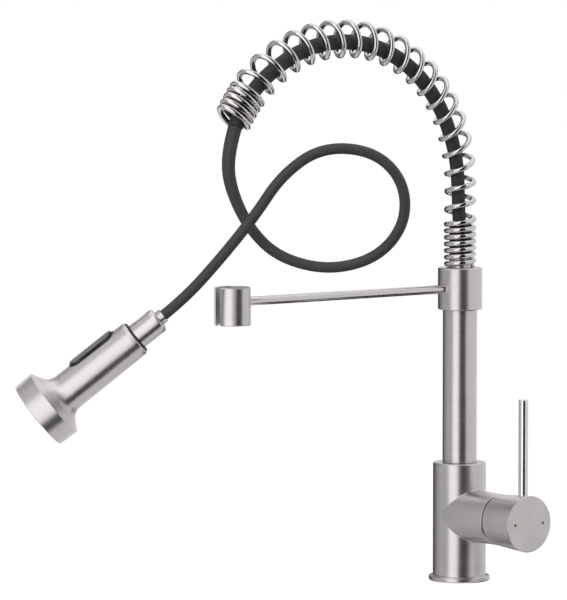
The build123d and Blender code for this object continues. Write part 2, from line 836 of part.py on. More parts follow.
def biarc(first, last):
    """Two arcs that join two points of the wire with its directions there."""
    start, end = wire_point(first), wire_point(last)
    out, into = wire_direction(first), wire_direction(last)
    chord = end - start
    both = out + into
    spread = 2 * (1 - out.dot(into))
    pull = chord.dot(both)
    reach = (-pull + (pull**2 + spread * chord.dot(chord)) ** 0.5) / spread
    near, far = start + out * reach, end - into * reach
    middle = (near + far) * 0.5
    return [
        TangentArc(start, middle, tangent=out),
        TangentArc(middle, end, tangent=(far - near).normalized()),
    ]


def least_wire_gap():
    """Least distance between neighbouring turns, less the wire's thickness."""
    steps = 48
    count = int((LAST_TURN - FIRST_TURN) * steps)
    points = [wire_point(FIRST_TURN + index / steps) for index in range(count)]
    nearest = min(
        (points[index] - points[other]).length
        for index in range(count)
        for other in range(index + steps // 2, min(index + 3 * steps // 2, count))
    )
    return nearest - 2 * WIRE_R


def spring():
    halves = round((LAST_TURN - FIRST_TURN) * 2)
    edges = []
    for half in range(halves):
        edges += biarc(FIRST_TURN + half / 2, FIRST_TURN + (half + 1) / 2)
    start = Plane(origin=wire_point(FIRST_TURN), z_dir=wire_direction(FIRST_TURN))
    path = Wire(edges)
    coil = sweep(start * RegularPolygon(WIRE_R, WIRE_SIDES), path=path, clean=False)
    print("spring turns", halves / 2, "wire length", round(path.length, 1))
    print("spring least gap", round(least_wire_gap(), 2))
    print("spring tightest arc", round(min(edge.radius for edge in edges), 2))
    return coil


# Spray head


def head_plane():
    across = (BUTTON_SIDE - HEAD_AXIS * BUTTON_SIDE.dot(HEAD_AXIS)).normalized()
    return Plane(origin=HEAD_ORIGIN, x_dir=across, z_dir=HEAD_AXIS)


def on_head(shape):
    """Place a piece that was made about Z on the spray head's axis, its X towards the button."""
    return head_plane() * shape


def hose_ferrule():
    hose_end = -HOSE_INTO_HEAD
    sleeve_end = hose_end - FERRULE_H + 1
    collar_end = hose_end + 1 - GAP / 2
    return on_head(
        turned(
            (HOSE_BORE, hose_end),
            (FREE_HOSE_R + 2 * RUN, hose_end),
            (FREE_HOSE_R + 2 * RUN, sleeve_end),
            (FERRULE_R, sleeve_end),
            (FERRULE_R, collar_end),
            (HOSE_NECK_R, collar_end),
            (HOSE_NECK_R, HOSE_FLANGE[0]),
            (HOSE_FLANGE_R, HOSE_FLANGE[0]),
            (HOSE_FLANGE_R, HOSE_FLANGE[1]),
            (HOSE_BORE, HOSE_FLANGE[1]),
        )
    )


def swivel_nut():
    nut = turned(
        (HOSE_NECK_R + 0.2, NUT_TOP),
        (NUT_R - 3, NUT_TOP),
        (NUT_R - 0.9, NUT_TOP + 0.9),
        (NUT_R, NUT_TOP + 3),
        (NUT_R, -GASKET_H - GAP),
        (NUT_R - GAP, -GASKET_H),
        (NUT_BORE, -GASKET_H),
        (NUT_BORE, NUT_FLOOR),
        (HOSE_NECK_R + 0.2, NUT_FLOOR),
    )
    flat_cutter = Box(3 * NUT_R, NUT_R, 10, align=(Align.CENTER, Align.MIN, Align.MIN))
    for turn in (0, 180):
        nut -= Rot(0, 0, turn) * Pos(0, NUT_R - NUT_FLAT, NUT_FLOOR + 1.5) * flat_cutter
    return on_head(nut)


def filter_washer():
    return on_head(tube(HOSE_FLANGE_R, HOSE_BORE, *WASHER))


def grip_gasket():
    return on_head(tube(GRIP_TOP_R, NUT_BORE, -GASKET_H, 0))


def inlet_connector():
    flange_foot = GRIP_TOP_WALL + RUN
    stub = rod(NUT_BORE - RUN, WASHER[1] + 0.1, flange_foot)
    stub += rod(CONNECTOR_R, flange_foot, CONNECTOR_END)
    stub += rod(VALVE_R + 2, CONNECTOR_END, CORE_START)
    stub -= rod(HOSE_BORE, WASHER[1] - 1, VALVE[0])
    return on_head(stub - rod(VALVE_R, VALVE[0], CORE_START + 1))


def check_valve():
    return on_head(rod(VALVE_R, *VALVE) - rod(2.4, VALVE[0] + 2, VALVE[1] + 1))


def stadium_prism(length, width, low, high):
    """Round-ended bar standing on the button's side of the grip, from low to high off the axis."""
    face = SlotOverall(length, width)
    return along_x(low, 0, BUTTON_CENTRE, extrude(face, high - low))


def surround_outline(low, high):
    """Bar with the surround's outer outline, which the shell's window shares."""
    room = 2 * GAP + 2 * SURROUND_WALL
    return stadium_prism(BUTTON_LENGTH + 2 * GAP + room, BUTTON_WIDTH + room, low, high)


def flare_turn():
    """How far the flare's arc turns before it runs straight to the bell's rear rim."""
    across = BELL_REAR_R - GRIP_R - FLARE_R
    along = BELL_REAR - GRIP_END
    return pi - atan2(along, across) - acos(FLARE_R / hypot(across, along))


def flare_point(radius, turn):
    """Point of an arc about the flare's centre, outside the grip at its lower end."""
    return Vector(GRIP_R + FLARE_R - radius * cos(turn), 0, GRIP_END + radius * sin(turn))


def flare_arc(radius, first, last):
    return ThreePointArc(*[flare_point(radius, turn) for turn in (first, (first + last) / 2, last)])


def grip_shell():
    """Thin shell: a tapering grip, a flare of one wall's thickness and the bell's band."""
    turn = flare_turn()
    inside = flare_point(FLARE_R + GRIP_WALL, turn)
    cavity_rear = inside.Z + (FACE_PLATE_R - inside.X) / tan(turn)
    outer = Polyline(
        (NUT_BORE, 0, 0),
        (GRIP_TOP_R - 0.6, 0, 0),
        (GRIP_TOP_R, 0, 0.6),
        (GRIP_TOP_R + EDGE, 0, 3),
        (GRIP_R, 0, GRIP_END),
    )
    band = Polyline(
        flare_point(FLARE_R, turn),
        (BELL_REAR_R, 0, BELL_REAR),
        (BELL_FACE_R, 0, BELL_FACE - EDGE),
        (BELL_FACE_R - EDGE, 0, BELL_FACE),
        (FACE_PLATE_R, 0, BELL_FACE),
        (FACE_PLATE_R, 0, cavity_rear),
        inside,
    )
    inner = Polyline(
        (GRIP_R - GRIP_WALL, 0, GRIP_END),
        (GRIP_TOP_R + EDGE - GRIP_WALL, 0, GRIP_TOP_WALL),
        (NUT_BORE, 0, GRIP_TOP_WALL),
        (NUT_BORE, 0, 0),
    )
    arcs = [flare_arc(FLARE_R, 0, turn), flare_arc(FLARE_R + GRIP_WALL, turn, 0)]
    outline = Wire([*outer.edges(), arcs[0], *band.edges(), arcs[1], *inner.edges()])
    shell = revolve(make_face(outline), Axis.Z)
    return on_head(shell - surround_outline(BUTTON_FOOT - 1, 2 * GRIP_R))


def button_surround():
    outer = surround_outline(BUTTON_FOOT, 2 * GRIP_R)
    inner = stadium_prism(BUTTON_LENGTH + 4 * GAP, BUTTON_WIDTH + 2 * GAP, BUTTON_FOOT - 1, 2 * GRIP_R)
    frame = (outer - inner) & rod(SURROUND_TOP, 0, GRIP_END)
    return on_head(frame - button_pin_bar(BUTTON_PIN_R, 2 * GRIP_R))


def button_pin_bar(radius, length):
    """Round bar across the grip where the button rocks."""
    return Pos(BUTTON_PIN_HEIGHT, 0, BUTTON_CENTRE) * Rot(90, 0, 0) * Cylinder(radius, length)


def button_pin():
    half = BUTTON_WIDTH / 2 + GAP + SURROUND_WALL
    return on_head(button_pin_bar(BUTTON_PIN_R, 2 * half))


def spray_button():
    button = stadium_prism(BUTTON_LENGTH, BUTTON_WIDTH, BUTTON_FOOT, BUTTON_TOP + 1)
    button &= rod(BUTTON_TOP, 0, GRIP_END)
    return on_head(button - button_pin_bar(BUTTON_PIN_R + RUN, 2 * GRIP_R))


def diverter_core():
    core = rod(CORE_R, CORE_START, CORE_END) + rod(CORE_FLANGE_R, CORE_END - 4, CORE_END)
    core -= rod(CORE_BORE, CORE_START - 1, CORE_END + 1)
    return on_head(core - along_x(1, 0, PLUNGER_STATION, rod(PLUNGER_R + RUN, 0, CORE_R + 3)))


def diverter_plunger():
    return on_head(along_x(0, 0, PLUNGER_STATION, rod(PLUNGER_R, 2.5, BUTTON_FOOT - GAP)))


def flow_distributor():
    plate_r = FACE_PLATE_R - GAP
    return on_head(
        turned(
            (4, CORE_END),
            (6, CORE_END),
            (6, AERATOR_REAR - 3),
            (plate_r, AERATOR_REAR - 1.5),
            (plate_r, AERATOR_REAR),
            (4, AERATOR_REAR),
        )
    )


def nozzle_places():
    """Centres of the nozzles on their two rings."""
    places = []
    for count, radius in NOZZLE_RINGS:
        for index in range(count):
            angle = 2 * pi * index / count
            places.append((radius * cos(angle), radius * sin(angle)))
    return places


def nozzle_mat():
    mat_front = MAT_REAR + MAT_H
    tip = Cone(NOZZLE_R + 0.1, NOZZLE_R - 0.3, BELL_FACE - mat_front + 0.1, align=STAND)
    mat = tube(FACE_PLATE_R - 1, AERATOR_R + 1.5, MAT_REAR, mat_front)
    for x, y in nozzle_places():
        mat += Pos(x, y, mat_front - 0.1) * tip
    return on_head(mat)


def face_plate():
    plate = tube(FACE_PLATE_R, AERATOR_R + RUN, PLATE_REAR, PLATE_FRONT)
    for x, y in nozzle_places():
        plate -= Pos(x, y, 0) * rod(NOZZLE_R + 0.2, PLATE_REAR - 1, BELL_FACE)
    return on_head(plate)


def aerator():
    front = PLATE_FRONT + 0.4
    body = rod(AERATOR_R, AERATOR_REAR, front)
    body -= rod(AERATOR_R - 1.6, front - 2, front + 1)
    body -= rod(4, AERATOR_REAR - 1, AERATOR_REAR + 3)
    hole = rod(1.3, AERATOR_REAR + 2, front + 1)
    for index in range(6):
        body -= Rot(0, 0, 60 * index) * Pos(5.2, 0, 0) * hole
    return on_head(body - hole)


PIECES = {
    "deck_flange": deck_flange,
    "base_seal": base_seal,
    "inlet_block": inlet_block,
    "mixer_body": mixer_body,
    "spout_lock_screw": spout_lock_screw,
    "cartridge": cartridge,
    "cartridge_seals": cartridge_seals,
    "cartridge_nut": cartridge_nut,
    "dust_ring": dust_ring,
    "glide_washer": glide_washer,
    "stem_carrier": stem_carrier,
    "tilt_pin": tilt_pin,
    "handle_cap": handle_cap,
    "lever": lever,
    "lever_set_screw": lever_set_screw,
    "drive_finger": drive_finger,
    "column_spigot": column_spigot,
    "spout_guide_rings": spout_guide_rings,
    "spout_o_rings": spout_o_rings,
    "column_tube": column_tube,
    "column_neck": column_neck,
    "spring_seat": spring_seat,
    "spring": spring,
    "spring_hose": spring_hose,
    "hose_tail_fitting": hose_tail_fitting,
    "free_hose": free_hose,
    "hose_ferrule": hose_ferrule,
    "arm_collar": arm_collar,
    "collar_liner": collar_liner,
    "collar_washer": collar_washer,
    "arm_rod": arm_rod,
    "arm_grub_screw": arm_grub_screw,
    "docking_ring": docking_ring,
    "ring_liner": ring_liner,
    "swivel_nut": swivel_nut,
    "filter_washer": filter_washer,
    "grip_gasket": grip_gasket,
    "inlet_connector": inlet_connector,
    "check_valve": check_valve,
    "grip_shell": grip_shell,
    "button_surround": button_surround,
    "button_pin": button_pin,
    "spray_button": spray_button,
    "diverter_core": diverter_core,
    "diverter_plunger": diverter_plunger,
    "flow_distributor": flow_distributor,
    "nozzle_mat": nozzle_mat,
    "face_plate": face_plate,
    "aerator": aerator,
}

os.makedirs("parts", exist_ok=True)
for name, make in PIECES.items():
    export_step(make(), f"parts/{name}.step")
for name, side in (("hot_dot", -1), ("cold_dot", 1)):
    export_step(marker_dot(side), f"parts/{name}.step")
print("pieces", len(PIECES) + 2)
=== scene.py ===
# %% [markdown]
# A kitchen faucet with a spring arch and a spray head that pulls out on a
# hose. The rigid parts come from the CAD model, already in place, and this
# lesson gives each its finish. What is flexible or wound, the two runs of
# hose and the spring, is built here as finer meshes that stand for the
# plainer CAD solids. So are the nut, the gasket and the button of the spray
# head, and a black sleeve in the spring's foot is added as painted shade
# for the dark gaps between its turns.
# %% Load the frame
import math

import bmesh
import bpy
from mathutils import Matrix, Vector


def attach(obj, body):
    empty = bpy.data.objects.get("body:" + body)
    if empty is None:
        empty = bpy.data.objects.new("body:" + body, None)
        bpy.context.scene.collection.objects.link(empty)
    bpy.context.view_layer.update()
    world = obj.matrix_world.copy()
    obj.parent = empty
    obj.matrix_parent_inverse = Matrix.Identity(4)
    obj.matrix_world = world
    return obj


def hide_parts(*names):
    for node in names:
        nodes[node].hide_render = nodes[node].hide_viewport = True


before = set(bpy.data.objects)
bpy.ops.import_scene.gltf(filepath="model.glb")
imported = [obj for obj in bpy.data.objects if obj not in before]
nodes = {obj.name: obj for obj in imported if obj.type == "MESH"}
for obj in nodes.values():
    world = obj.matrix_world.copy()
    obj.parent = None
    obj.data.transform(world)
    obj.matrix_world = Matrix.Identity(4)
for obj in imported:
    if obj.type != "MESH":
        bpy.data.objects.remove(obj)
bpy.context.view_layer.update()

# %% [markdown]
# The camera stands a little above the deck, to the right of the spout, and
# far away with a long lens, so the column's sides stay parallel. A nearer
# camera with a wide lens would make the spray head too large. Its place and
# lens were fitted to the photograph. It is made first because the lie of
# the hose is judged through it.
# %% Camera
CAMERA_PLACE = Vector((3.0954, -2.5335, 0.5600))
CAMERA_TARGET = Vector((-0.0913, -0.1116, 0.2294))
CAMERA_LENS = 294.8

camera_data = bpy.data.cameras.new("camera")
camera_data.lens = CAMERA_LENS
camera = bpy.data.objects.new("camera", camera_data)
bpy.context.scene.collection.objects.link(camera)
view_line = CAMERA_TARGET - CAMERA_PLACE
camera.location = CAMERA_PLACE
camera.rotation_euler = view_line.to_track_quat("-Z", "Y").to_euler()
bpy.context.scene.camera = camera
print("camera distance", round(view_line.length, 3))

# %% [markdown]
# The free hose leaves the spring's lower end, falls, runs round one loose
# loop and comes down to the spray head. Its line is a NURBS spline through
# a short list of given control points, because such a spline bends
# as evenly as a real hose. Arcs and straight runs would look like bent wire.
# %% Line of the free hose
FREE_HOSE_POINTS = [
    Vector((0.0, -0.228626, 0.377875)),
    Vector((0.0, -0.235979, 0.357672)),
    Vector((0.002, -0.236, 0.332)),
    Vector((0.009, -0.223, 0.299)),
    Vector((0.025, -0.205, 0.275)),
    Vector((0.051, -0.174, 0.265)),
    Vector((0.077, -0.145, 0.276)),
    Vector((0.092, -0.130, 0.304)),
    Vector((0.092, -0.133, 0.337)),
    Vector((0.079, -0.153, 0.360)),
    Vector((0.057, -0.187, 0.363)),
    Vector((0.041, -0.214, 0.341)),
    Vector((0.031, -0.233, 0.309)),
    Vector((0.017, -0.257, 0.275)),
    Vector((0.003768, -0.280830, 0.245315)),
    Vector((-0.007629, -0.295705, 0.230320)),
]
PIECES_PER_SPAN = 40


def smooth_line(name, control_points, pieces_per_span):
    """Points along an open NURBS spline with these control points."""
    curve = bpy.data.curves.new(name, "CURVE")
    curve.dimensions = "3D"
    spline = curve.splines.new("NURBS")
    spline.points.add(len(control_points) - 1)
    for knot, place in zip(spline.points, control_points):
        knot.co = (*place, 1.0)
    spline.order_u = 3
    spline.use_endpoint_u = True
    spline.resolution_u = pieces_per_span
    carrier = bpy.data.objects.new(name, curve)
    line = bpy.data.meshes.new_from_object(carrier)
    points = [vertex.co.copy() for vertex in line.vertices]
    bpy.data.objects.remove(carrier)
    bpy.data.meshes.remove(line)
    return points


def length_of(points):
    """Length of a line through points."""
    return sum((b - a).length for a, b in zip(points, points[1:]))


free_line = smooth_line("free_hose_line", FREE_HOSE_POINTS, PIECES_PER_SPAN)

# %% [markdown]
# Both hoses, the spring's wire and the foot sleeve are tubes swept along a
# line. A ring of vertices is set at each point, and the rings are turned as
# little as possible from one to the next, so that a sleeve's ribs run
# straight. A curve with a bevel would be shorter to write, but here one
# function of length and angle gives ribs, bulges and cut ends alike.
# %% Tubes along a line
SLEEVE_MAP = "Sleeve"


def carried_frames(points):
    """Place, side and upward direction of each ring, carried along untwisted."""
    frames = []
    side = None
    for index, place in enumerate(points):
        before = points[max(index - 1, 0)]
        after = points[min(index + 1, len(points) - 1)]
        direction = (after - before).normalized()
        side = direction.orthogonal() if side is None else side
        side = (side - direction * side.dot(direction)).normalized()
        frames.append((place, side, direction.cross(side)))
    return frames


def tube_piece(name, points, reach, sides):
    """Closed tube whose radius at a length and an angle is reach(length, angle)."""
    vertices = []
    faces = []
    lengths = [0.0]
    for a, b in zip(points, points[1:]):
        lengths.append(lengths[-1] + (b - a).length)
    for along, (place, side, up) in zip(lengths, carried_frames(points)):
        for step in range(sides):
            angle = math.tau * step / sides
            outward = side * math.cos(angle) + up * math.sin(angle)
            vertices.append(place + outward * reach(along, angle))
    corners = []
    for ring in range(len(points) - 1):
        for step in range(sides):
            beside = (step + 1) % sides
            here, there = ring * sides, (ring + 1) * sides
            faces.append((here + step, here + beside, there + beside, there + step))
            near, far = lengths[ring], lengths[ring + 1]
            low, high = step / sides, (step + 1) / sides
            corners += [(near, low), (near, high), (far, high), (far, low)]
    last = (len(points) - 1) * sides
    faces.append(tuple(reversed(range(sides))))
    faces.append(tuple(range(last, last + sides)))
    corners += [(0.0, 0.0)] * (2 * sides)
    mesh = bpy.data.meshes.new(name)
    mesh.from_pydata(vertices, [], faces)
    mesh.shade_smooth()
    layer = mesh.uv_layers.new(name=SLEEVE_MAP)
    for corner, place in zip(layer.uv, corners):
        corner.vector = place
    piece = bpy.data.objects.new(name, mesh)
    bpy.context.scene.collection.objects.link(piece)
    return piece


# %% [markdown]
# Pull-out hoses commonly wear a braided sleeve. Its strands lie in fine ribs
# along the hose, a few hundredths of a millimetre high. The ribs are real
# relief in the mesh, and the crossing strands, which are finer still, are
# left to the material. The sleeve is thicker where it leaves the spring,
# because it measures wider there in the photograph.
# %% Free hose
FREE_HOSE_R = 0.0043
BULKED_R = 0.0056
BULKED_LENGTH = 0.06
RIB_HEIGHT = 0.00006
FREE_RIBS = 24
FREE_SIDES = 96


def ribbed(radius, ribs):
    """Radius of a sleeve with that many ribs round it."""
    return lambda along, angle: radius - RIB_HEIGHT * (1 - math.cos(ribs * angle)) / 2


def free_reach(along, angle):
    """Radius of the sleeve, bulked up where it leaves the spring."""
    bulk = (BULKED_R - FREE_HOSE_R) * math.exp(-((along / BULKED_LENGTH) ** 2))
    return ribbed(FREE_HOSE_R + bulk, FREE_RIBS)(along, angle)


free_hose = tube_piece("free_hose_sleeve", free_line, free_reach, FREE_SIDES)
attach(free_hose, "spout")
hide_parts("free_hose")
print("free hose vertices", len(free_hose.data.vertices))

# %% [markdown]
# Inside the spring runs the same hose in a thicker sleeve. It stands
# straight up the column, follows the arch, and ends where the spring ends.
# Its line is worked out from a straight stretch and two arcs, because the
# spring gives the arch its shape, and the hose's own weight does not. The
# photograph shows the hose nearer to the arch's inner side than to its
# middle, so the line is drawn in by a few millimetres there.
# %% Hose inside the spring
MM = 0.001
HOSE_FOOT = 12.0 * MM
ARCH_START = 324.7 * MM
ARCH_R = 122.0 * MM
HOSE_TURN = math.radians(130)
HOSE_END_R = 95.0 * MM
HOSE_HEADING = math.radians(160)
HOSE_STEP = 2.0 * MM
HOSE_RIBS = 40
HOSE_SIDES = 120
# Radius at a length, both in millimetres.
HOSE_RADII = ((280, 5.4), (330, 5.6), (420, 6.15), (640, 6.15), (690, 5.6))
# Millimetres towards the arch's inner side at a heading in degrees.
DRAWN_IN = (
    (-25, 0), (0, 2.6), (22, 3.7), (50, 3.8), (90, 4.2), (125, 3.4), (150, 1.0), (160, 0),
)


def between(stations, position):
    """Value at a position, straight between (position, value) stations."""
    for (low, first), (high, last) in zip(stations, stations[1:]):
        if position <= high:
            return first + (last - first) * max(0, position - low) / (high - low)
    return stations[-1][1]


def arch_point(heading):
    """Point of the arch where it has turned by heading."""
    first = min(heading, HOSE_TURN)
    y = -ARCH_R * (1 - math.cos(first))
    z = ARCH_START + ARCH_R * math.sin(first)
    if heading > HOSE_TURN:
        y -= HOSE_END_R * (math.cos(first) - math.cos(heading))
        z += HOSE_END_R * (math.sin(heading) - math.sin(first))
    drawn_in = between(DRAWN_IN, math.degrees(heading)) * MM
    return Vector((0, y - drawn_in * math.cos(heading), z - drawn_in * math.sin(heading)))


def upright_point(height):
    """Point of the straight stretch, drawn in like the arch's start near its top."""
    drawn_in = between(DRAWN_IN, math.degrees((height - ARCH_START) / ARCH_R)) * MM
    return Vector((0, -drawn_in, height))


def held_line():
    """Points from the column's foot up and along the arch to the hose's last heading."""
    upright = math.ceil((ARCH_START - HOSE_FOOT) / HOSE_STEP)
    rise = (ARCH_START - HOSE_FOOT) / upright
    points = [upright_point(HOSE_FOOT + rise * step) for step in range(upright)]
    bent = math.ceil(HOSE_HEADING * ARCH_R / HOSE_STEP)
    return points + [arch_point(HOSE_HEADING * step / bent) for step in range(bent + 1)]


def held_reach(along, angle):
    """Radius of the sleeve, thinner on the straight stretch and thicker on the arch."""
    return ribbed(between(HOSE_RADII, along / MM) * MM, HOSE_RIBS)(along, angle)


held_points = held_line()
held_hose = tube_piece("spring_hose_sleeve", held_points, held_reach, HOSE_SIDES)
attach(held_hose, "spout")
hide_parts("spring_hose")
print("held hose", round(length_of(held_points), 4), "m long")

# %% [markdown]
# The spring is one round steel wire. Its first turns and its last ones are
# wound close, and between them the turns stand open, lean a little and hang
# a little to one side. A formula gives the wire's point at any turn, so
# pitch and width change smoothly, which a screw modifier cannot do on an
# arch. The stations below were fitted to the turns in the photograph. They
# also make the turns narrower sideways than the round ones of a real
# spring, only because round ones looked too wide from this camera.
# %% Line of the spring
SPRING_ZERO = 255.0 * MM
FIRST_TURN = 0.95
LAST_TURN = 32.4
TURN_ZERO = -3.0 * MM
STEPS_PER_TURN = 60
# Millimetres from one turn to the next, at a turn.
PITCHES = (
    (0, 5.4), (7.5, 5.4), (8.1, 16.8), (9, 14.1), (11, 16.9), (14, 15.6), (18, 17.6),
    (22, 16.9), (26, 17.6), (27.4, 14.3), (27.9, 5.3), (32.5, 5.6),
)
# Radius in millimetres, at a turn.
COIL_RADII = (
    (0, 11.05), (7.7, 11.3), (10, 10.9), (13, 11.5), (16, 12.2), (20, 13.0), (27, 15.0), (28.5, 14.6),
)
# Millimetres by which a turn leans along the arch and hangs towards its
# inner side, and its width sideways as a share, at a heading in degrees.
LEAN = ((0, 0), (20, 2.4), (45, 1.0), (70, 0.7), (95, 0.8), (120, -0.4), (138, 0), (155, -3.7))
SAG = ((0, 0), (15, 0), (30, -0.6), (90, 1.8), (150, -1.4))
OVAL = ((0, 1.0), (15, 1.0), (45, 0.79), (130, 0.75), (150, 0.65))


def wire_point(turn, length):
    """Point of the wire's centre line at a turn and its length along the arch."""
    straight = ARCH_START - SPRING_ZERO
    heading = math.degrees(max(0, length - straight) / ARCH_R)
    around = math.tau * turn
    length += between(LEAN, heading) * MM * math.cos(around)
    angle = max(0, length - straight) / ARCH_R
    rise = min(length, straight)
    reach = ARCH_R - between(SAG, math.degrees(angle)) * MM
    y = reach * math.cos(angle) - ARCH_R
    centre = Vector((0, y, SPRING_ZERO + rise + reach * math.sin(angle)))
    outward = Vector((0, math.cos(angle), math.sin(angle)))
    sideways = Vector((-1, 0, 0))
    radius = between(COIL_RADII, turn) * MM
    oval = between(OVAL, heading)
    return centre + (outward * math.cos(around) + sideways * (oval * math.sin(around))) * radius


def wire_line():
    """Points of the wire, walked in small steps that add up the pitch."""
    step = 1 / STEPS_PER_TURN
    length = TURN_ZERO
    turn = 0.0
    points = []
    while turn <= LAST_TURN:
        if turn >= FIRST_TURN:
            points.append(wire_point(turn, length))
        length += between(PITCHES, turn + step / 2) * MM * step
        turn += step
    return points


wire_points = wire_line()
wire_length = length_of(wire_points)
print("spring wire", len(wire_points), "points,", round(wire_length, 3), "m long")

# %% [markdown]
# Spring wire is drawn round and cut off square, and the cut's edge is
# broken. The same sweep as for the hoses makes it, with fewer sides, as the
# wire is thin and has no ribs.
# %% Spring
WIRE_R = 2.2 * MM
WIRE_SIDES = 18
BEVEL_LENGTH = WIRE_R / 4
BEVELLED_R = WIRE_R * 0.8


def wire_reach(along, angle):
    """Radius of the wire, smaller at its two cut ends."""
    from_end = min(along, wire_length - along)
    return WIRE_R if from_end > BEVEL_LENGTH else BEVELLED_R


spring = tube_piece("spring_wire", wire_points, wire_reach, WIRE_SIDES)
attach(spring, "spout")
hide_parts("spring")
print("spring", len(spring.data.polygons), "faces")

# %% [markdown]
# The gaps between the close turns at the spring's foot are dark in the
# photograph, and what lies in them cannot be seen. Their darkness is
# shade, and a black sleeve on the hose, a guess and not a known part,
# stands in for it as painted shade. It is swept straight up the
# column's axis, grooved a little and rounded off at its upper end. Darker
# wire would also do it, but it would dull the turns themselves.
# %% Foot sleeve of painted shade
SLEEVE_FROM, SLEEVE_TO = 258.0 * MM, 293.5 * MM
SLEEVE_R = 8.75 * MM
SLEEVE_ROUND = 2.0 * MM
SLEEVE_STEPS = 80
SLEEVE_SIDES = 64
GROOVE_DEPTH = 0.1 * MM
GROOVE_PITCH = 2.7 * MM


def sleeve_reach(along, angle):
    """Radius of the sleeve, with shallow grooves and a rounded upper end."""
    left = SLEEVE_TO - SLEEVE_FROM - along
    rounded = max(0.0, SLEEVE_ROUND - left)
    grooves = GROOVE_DEPTH * math.cos(math.tau * along / GROOVE_PITCH)
    cap = math.sqrt(max(0.0, SLEEVE_ROUND ** 2 - rounded ** 2))
    return SLEEVE_R - SLEEVE_ROUND + cap - grooves


sleeve_rise = (SLEEVE_TO - SLEEVE_FROM) / SLEEVE_STEPS
sleeve_line = [Vector((0, 0, SLEEVE_FROM + sleeve_rise * step)) for step in range(SLEEVE_STEPS + 1)]
# The foot sleeve is a black piece put in as painted shade.
foot_shade_sleeve = tube_piece("foot_shade_sleeve", sleeve_line, sleeve_reach, SLEEVE_SIDES)
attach(foot_shade_sleeve, "spout")
print("foot sleeve", round(SLEEVE_TO - SLEEVE_FROM, 4), "m long")

# %% [markdown]
# The spray head hangs at a slant, so its small parts are shaped in the
# head's own directions: along its axis, out towards the button, and across.
# One helper carries such a place into the room. Shaping the parts upright
# and turning them afterwards would do as well, but then each would need the
# same turn again.
# %% Directions of the spray head
HEAD_ORIGIN = Vector((-0.0195, -0.3112, 0.2147))
HEAD_AXIS = Vector((-0.475, -0.620, -0.625)).normalized()
BUTTON_SIDE = Vector((-0.283, -0.560, 0.779))
HEAD_OUT = (BUTTON_SIDE - HEAD_AXIS * BUTTON_SIDE.dot(HEAD_AXIS)).normalized()
HEAD_ACROSS = HEAD_AXIS.cross(HEAD_OUT)
SHARP_ANGLE = math.radians(35)


def head_place(out, across, along):
    """Place in the spray head's directions, given in millimetres."""
    return HEAD_ORIGIN + (HEAD_OUT * out + HEAD_ACROSS * across + HEAD_AXIS * along) * MM


def meshed(name, vertices, faces):
    """Smooth piece with sharp edges kept and its faces turned outwards."""
    mesh = bpy.data.meshes.new(name)
    mesh.from_pydata(vertices, [], faces)
    shape = bmesh.new()
    shape.from_mesh(mesh)
    bmesh.ops.recalc_face_normals(shape, faces=shape.faces)
    shape.to_mesh(mesh)
    shape.free()
    mesh.shade_smooth()
    mesh.set_sharp_from_angle(angle=SHARP_ANGLE)
    piece = bpy.data.objects.new(name, mesh)
    bpy.context.scene.collection.objects.link(piece)
    return piece


def turned_piece(name, profile, sides, radius_at=lambda radius, along, angle: radius):
    """Closed ring turned about the head's axis from (radius, along) points."""
    vertices = []
    for step in range(sides):
        angle = math.tau * step / sides
        for radius, along in profile:
            reach = radius_at(radius, along, angle)
            vertices.append(head_place(reach * math.cos(angle), reach * math.sin(angle), along))
    count = len(profile)
    faces = []
    for step in range(sides):
        here, there = step * count, (step + 1) % sides * count
        for index in range(count):
            after = (index + 1) % count
            faces.append((here + index, there + index, there + after, here + after))
    return meshed(name, vertices, faces)


print("spray head's axis", [round(share, 3) for share in HEAD_AXIS])

# %% [markdown]
# The nut that holds the hose is turned from bar, with a rounded shoulder.
# Two shallow flats for a spanner are a guess at what the photograph barely
# shows. Below the nut a thin rubber gasket shows as one dark line. Both are
# an outline turned about the axis, like work in a lathe, and the flats cut
# the radius back where they run.
# %% Nut and gasket of the spray head
NUT_R = 10.3
NUT_SIDES = 180
FLAT_DEPTH = 0.4
FLATS_FROM, FLATS_TO = -18.0, -8.0
LEAST_FACING = 0.1
NUT_PROFILE = (
    (4.95, -23.7), (7.9, -23.7), (8.7, -23.5), (9.5, -23.0), (10.0, -22.2), (10.3, -21.2),
    (10.3, -18.1), (10.3, -17.9), (10.3, -8.1), (10.3, -7.9), (10.3, -1.6), (9.9, -1.1),
    (7.65, -1.1), (7.65, -19.5), (4.95, -19.5),
)
GASKET_SIDES = 96
GASKET_PROFILE = (
    (8.4, -0.85), (13.3, -0.85), (13.6, -0.65), (13.6, -0.25), (13.3, -0.05), (8.4, -0.05),
)


def with_flats(radius, along, angle):
    """Radius on the nut, cut back where a flat runs."""
    if radius < NUT_R or not FLATS_FROM < along < FLATS_TO:
        return radius
    from_middle = (angle + math.pi / 2) % math.pi - math.pi / 2
    facing = max(math.cos(from_middle), LEAST_FACING)
    return min(radius, (NUT_R - FLAT_DEPTH) / facing)


nut = turned_piece("nut_turned", NUT_PROFILE, NUT_SIDES, with_flats)
gasket = turned_piece("gasket_ring", GASKET_PROFILE, GASKET_SIDES)
for piece, node, finish in ((nut, "swivel_nut", "polished"), (gasket, "grip_gasket", "rubber")):
    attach(piece, "spray_head")
    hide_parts(node)
print("nut faces", len(nut.data.polygons), "gasket faces", len(gasket.data.polygons))

# %% [markdown]
# The spray button is a rocker, long and rounded at its ends, and stands a
# little proud of the grip, so a thumb can find it. The photograph shows a
# grey top over a dark strip, which is the button's side in shade. Here the
# top is a grey pad, and the side below it is coloured black as painted shade.
# The outline is drawn once and set in, ring by ring, while it rises. The
# bore for the pin that it rocks on is cut last.
# %% Spray button
BUTTON_MIDDLE = 32.7
BUTTON_HALF_LENGTH = 20.5
BUTTON_HALF_WIDTH = 6.45
BUTTON_FOOT = 9.6
CROWN_R = 17.75
END_DROP = 0.25
PIN_OUT = 11.5
PIN_REACH = 8
PIN_SIDES = 32
PIN_BORE_R = 1.55
ROUND_STEPS = 24
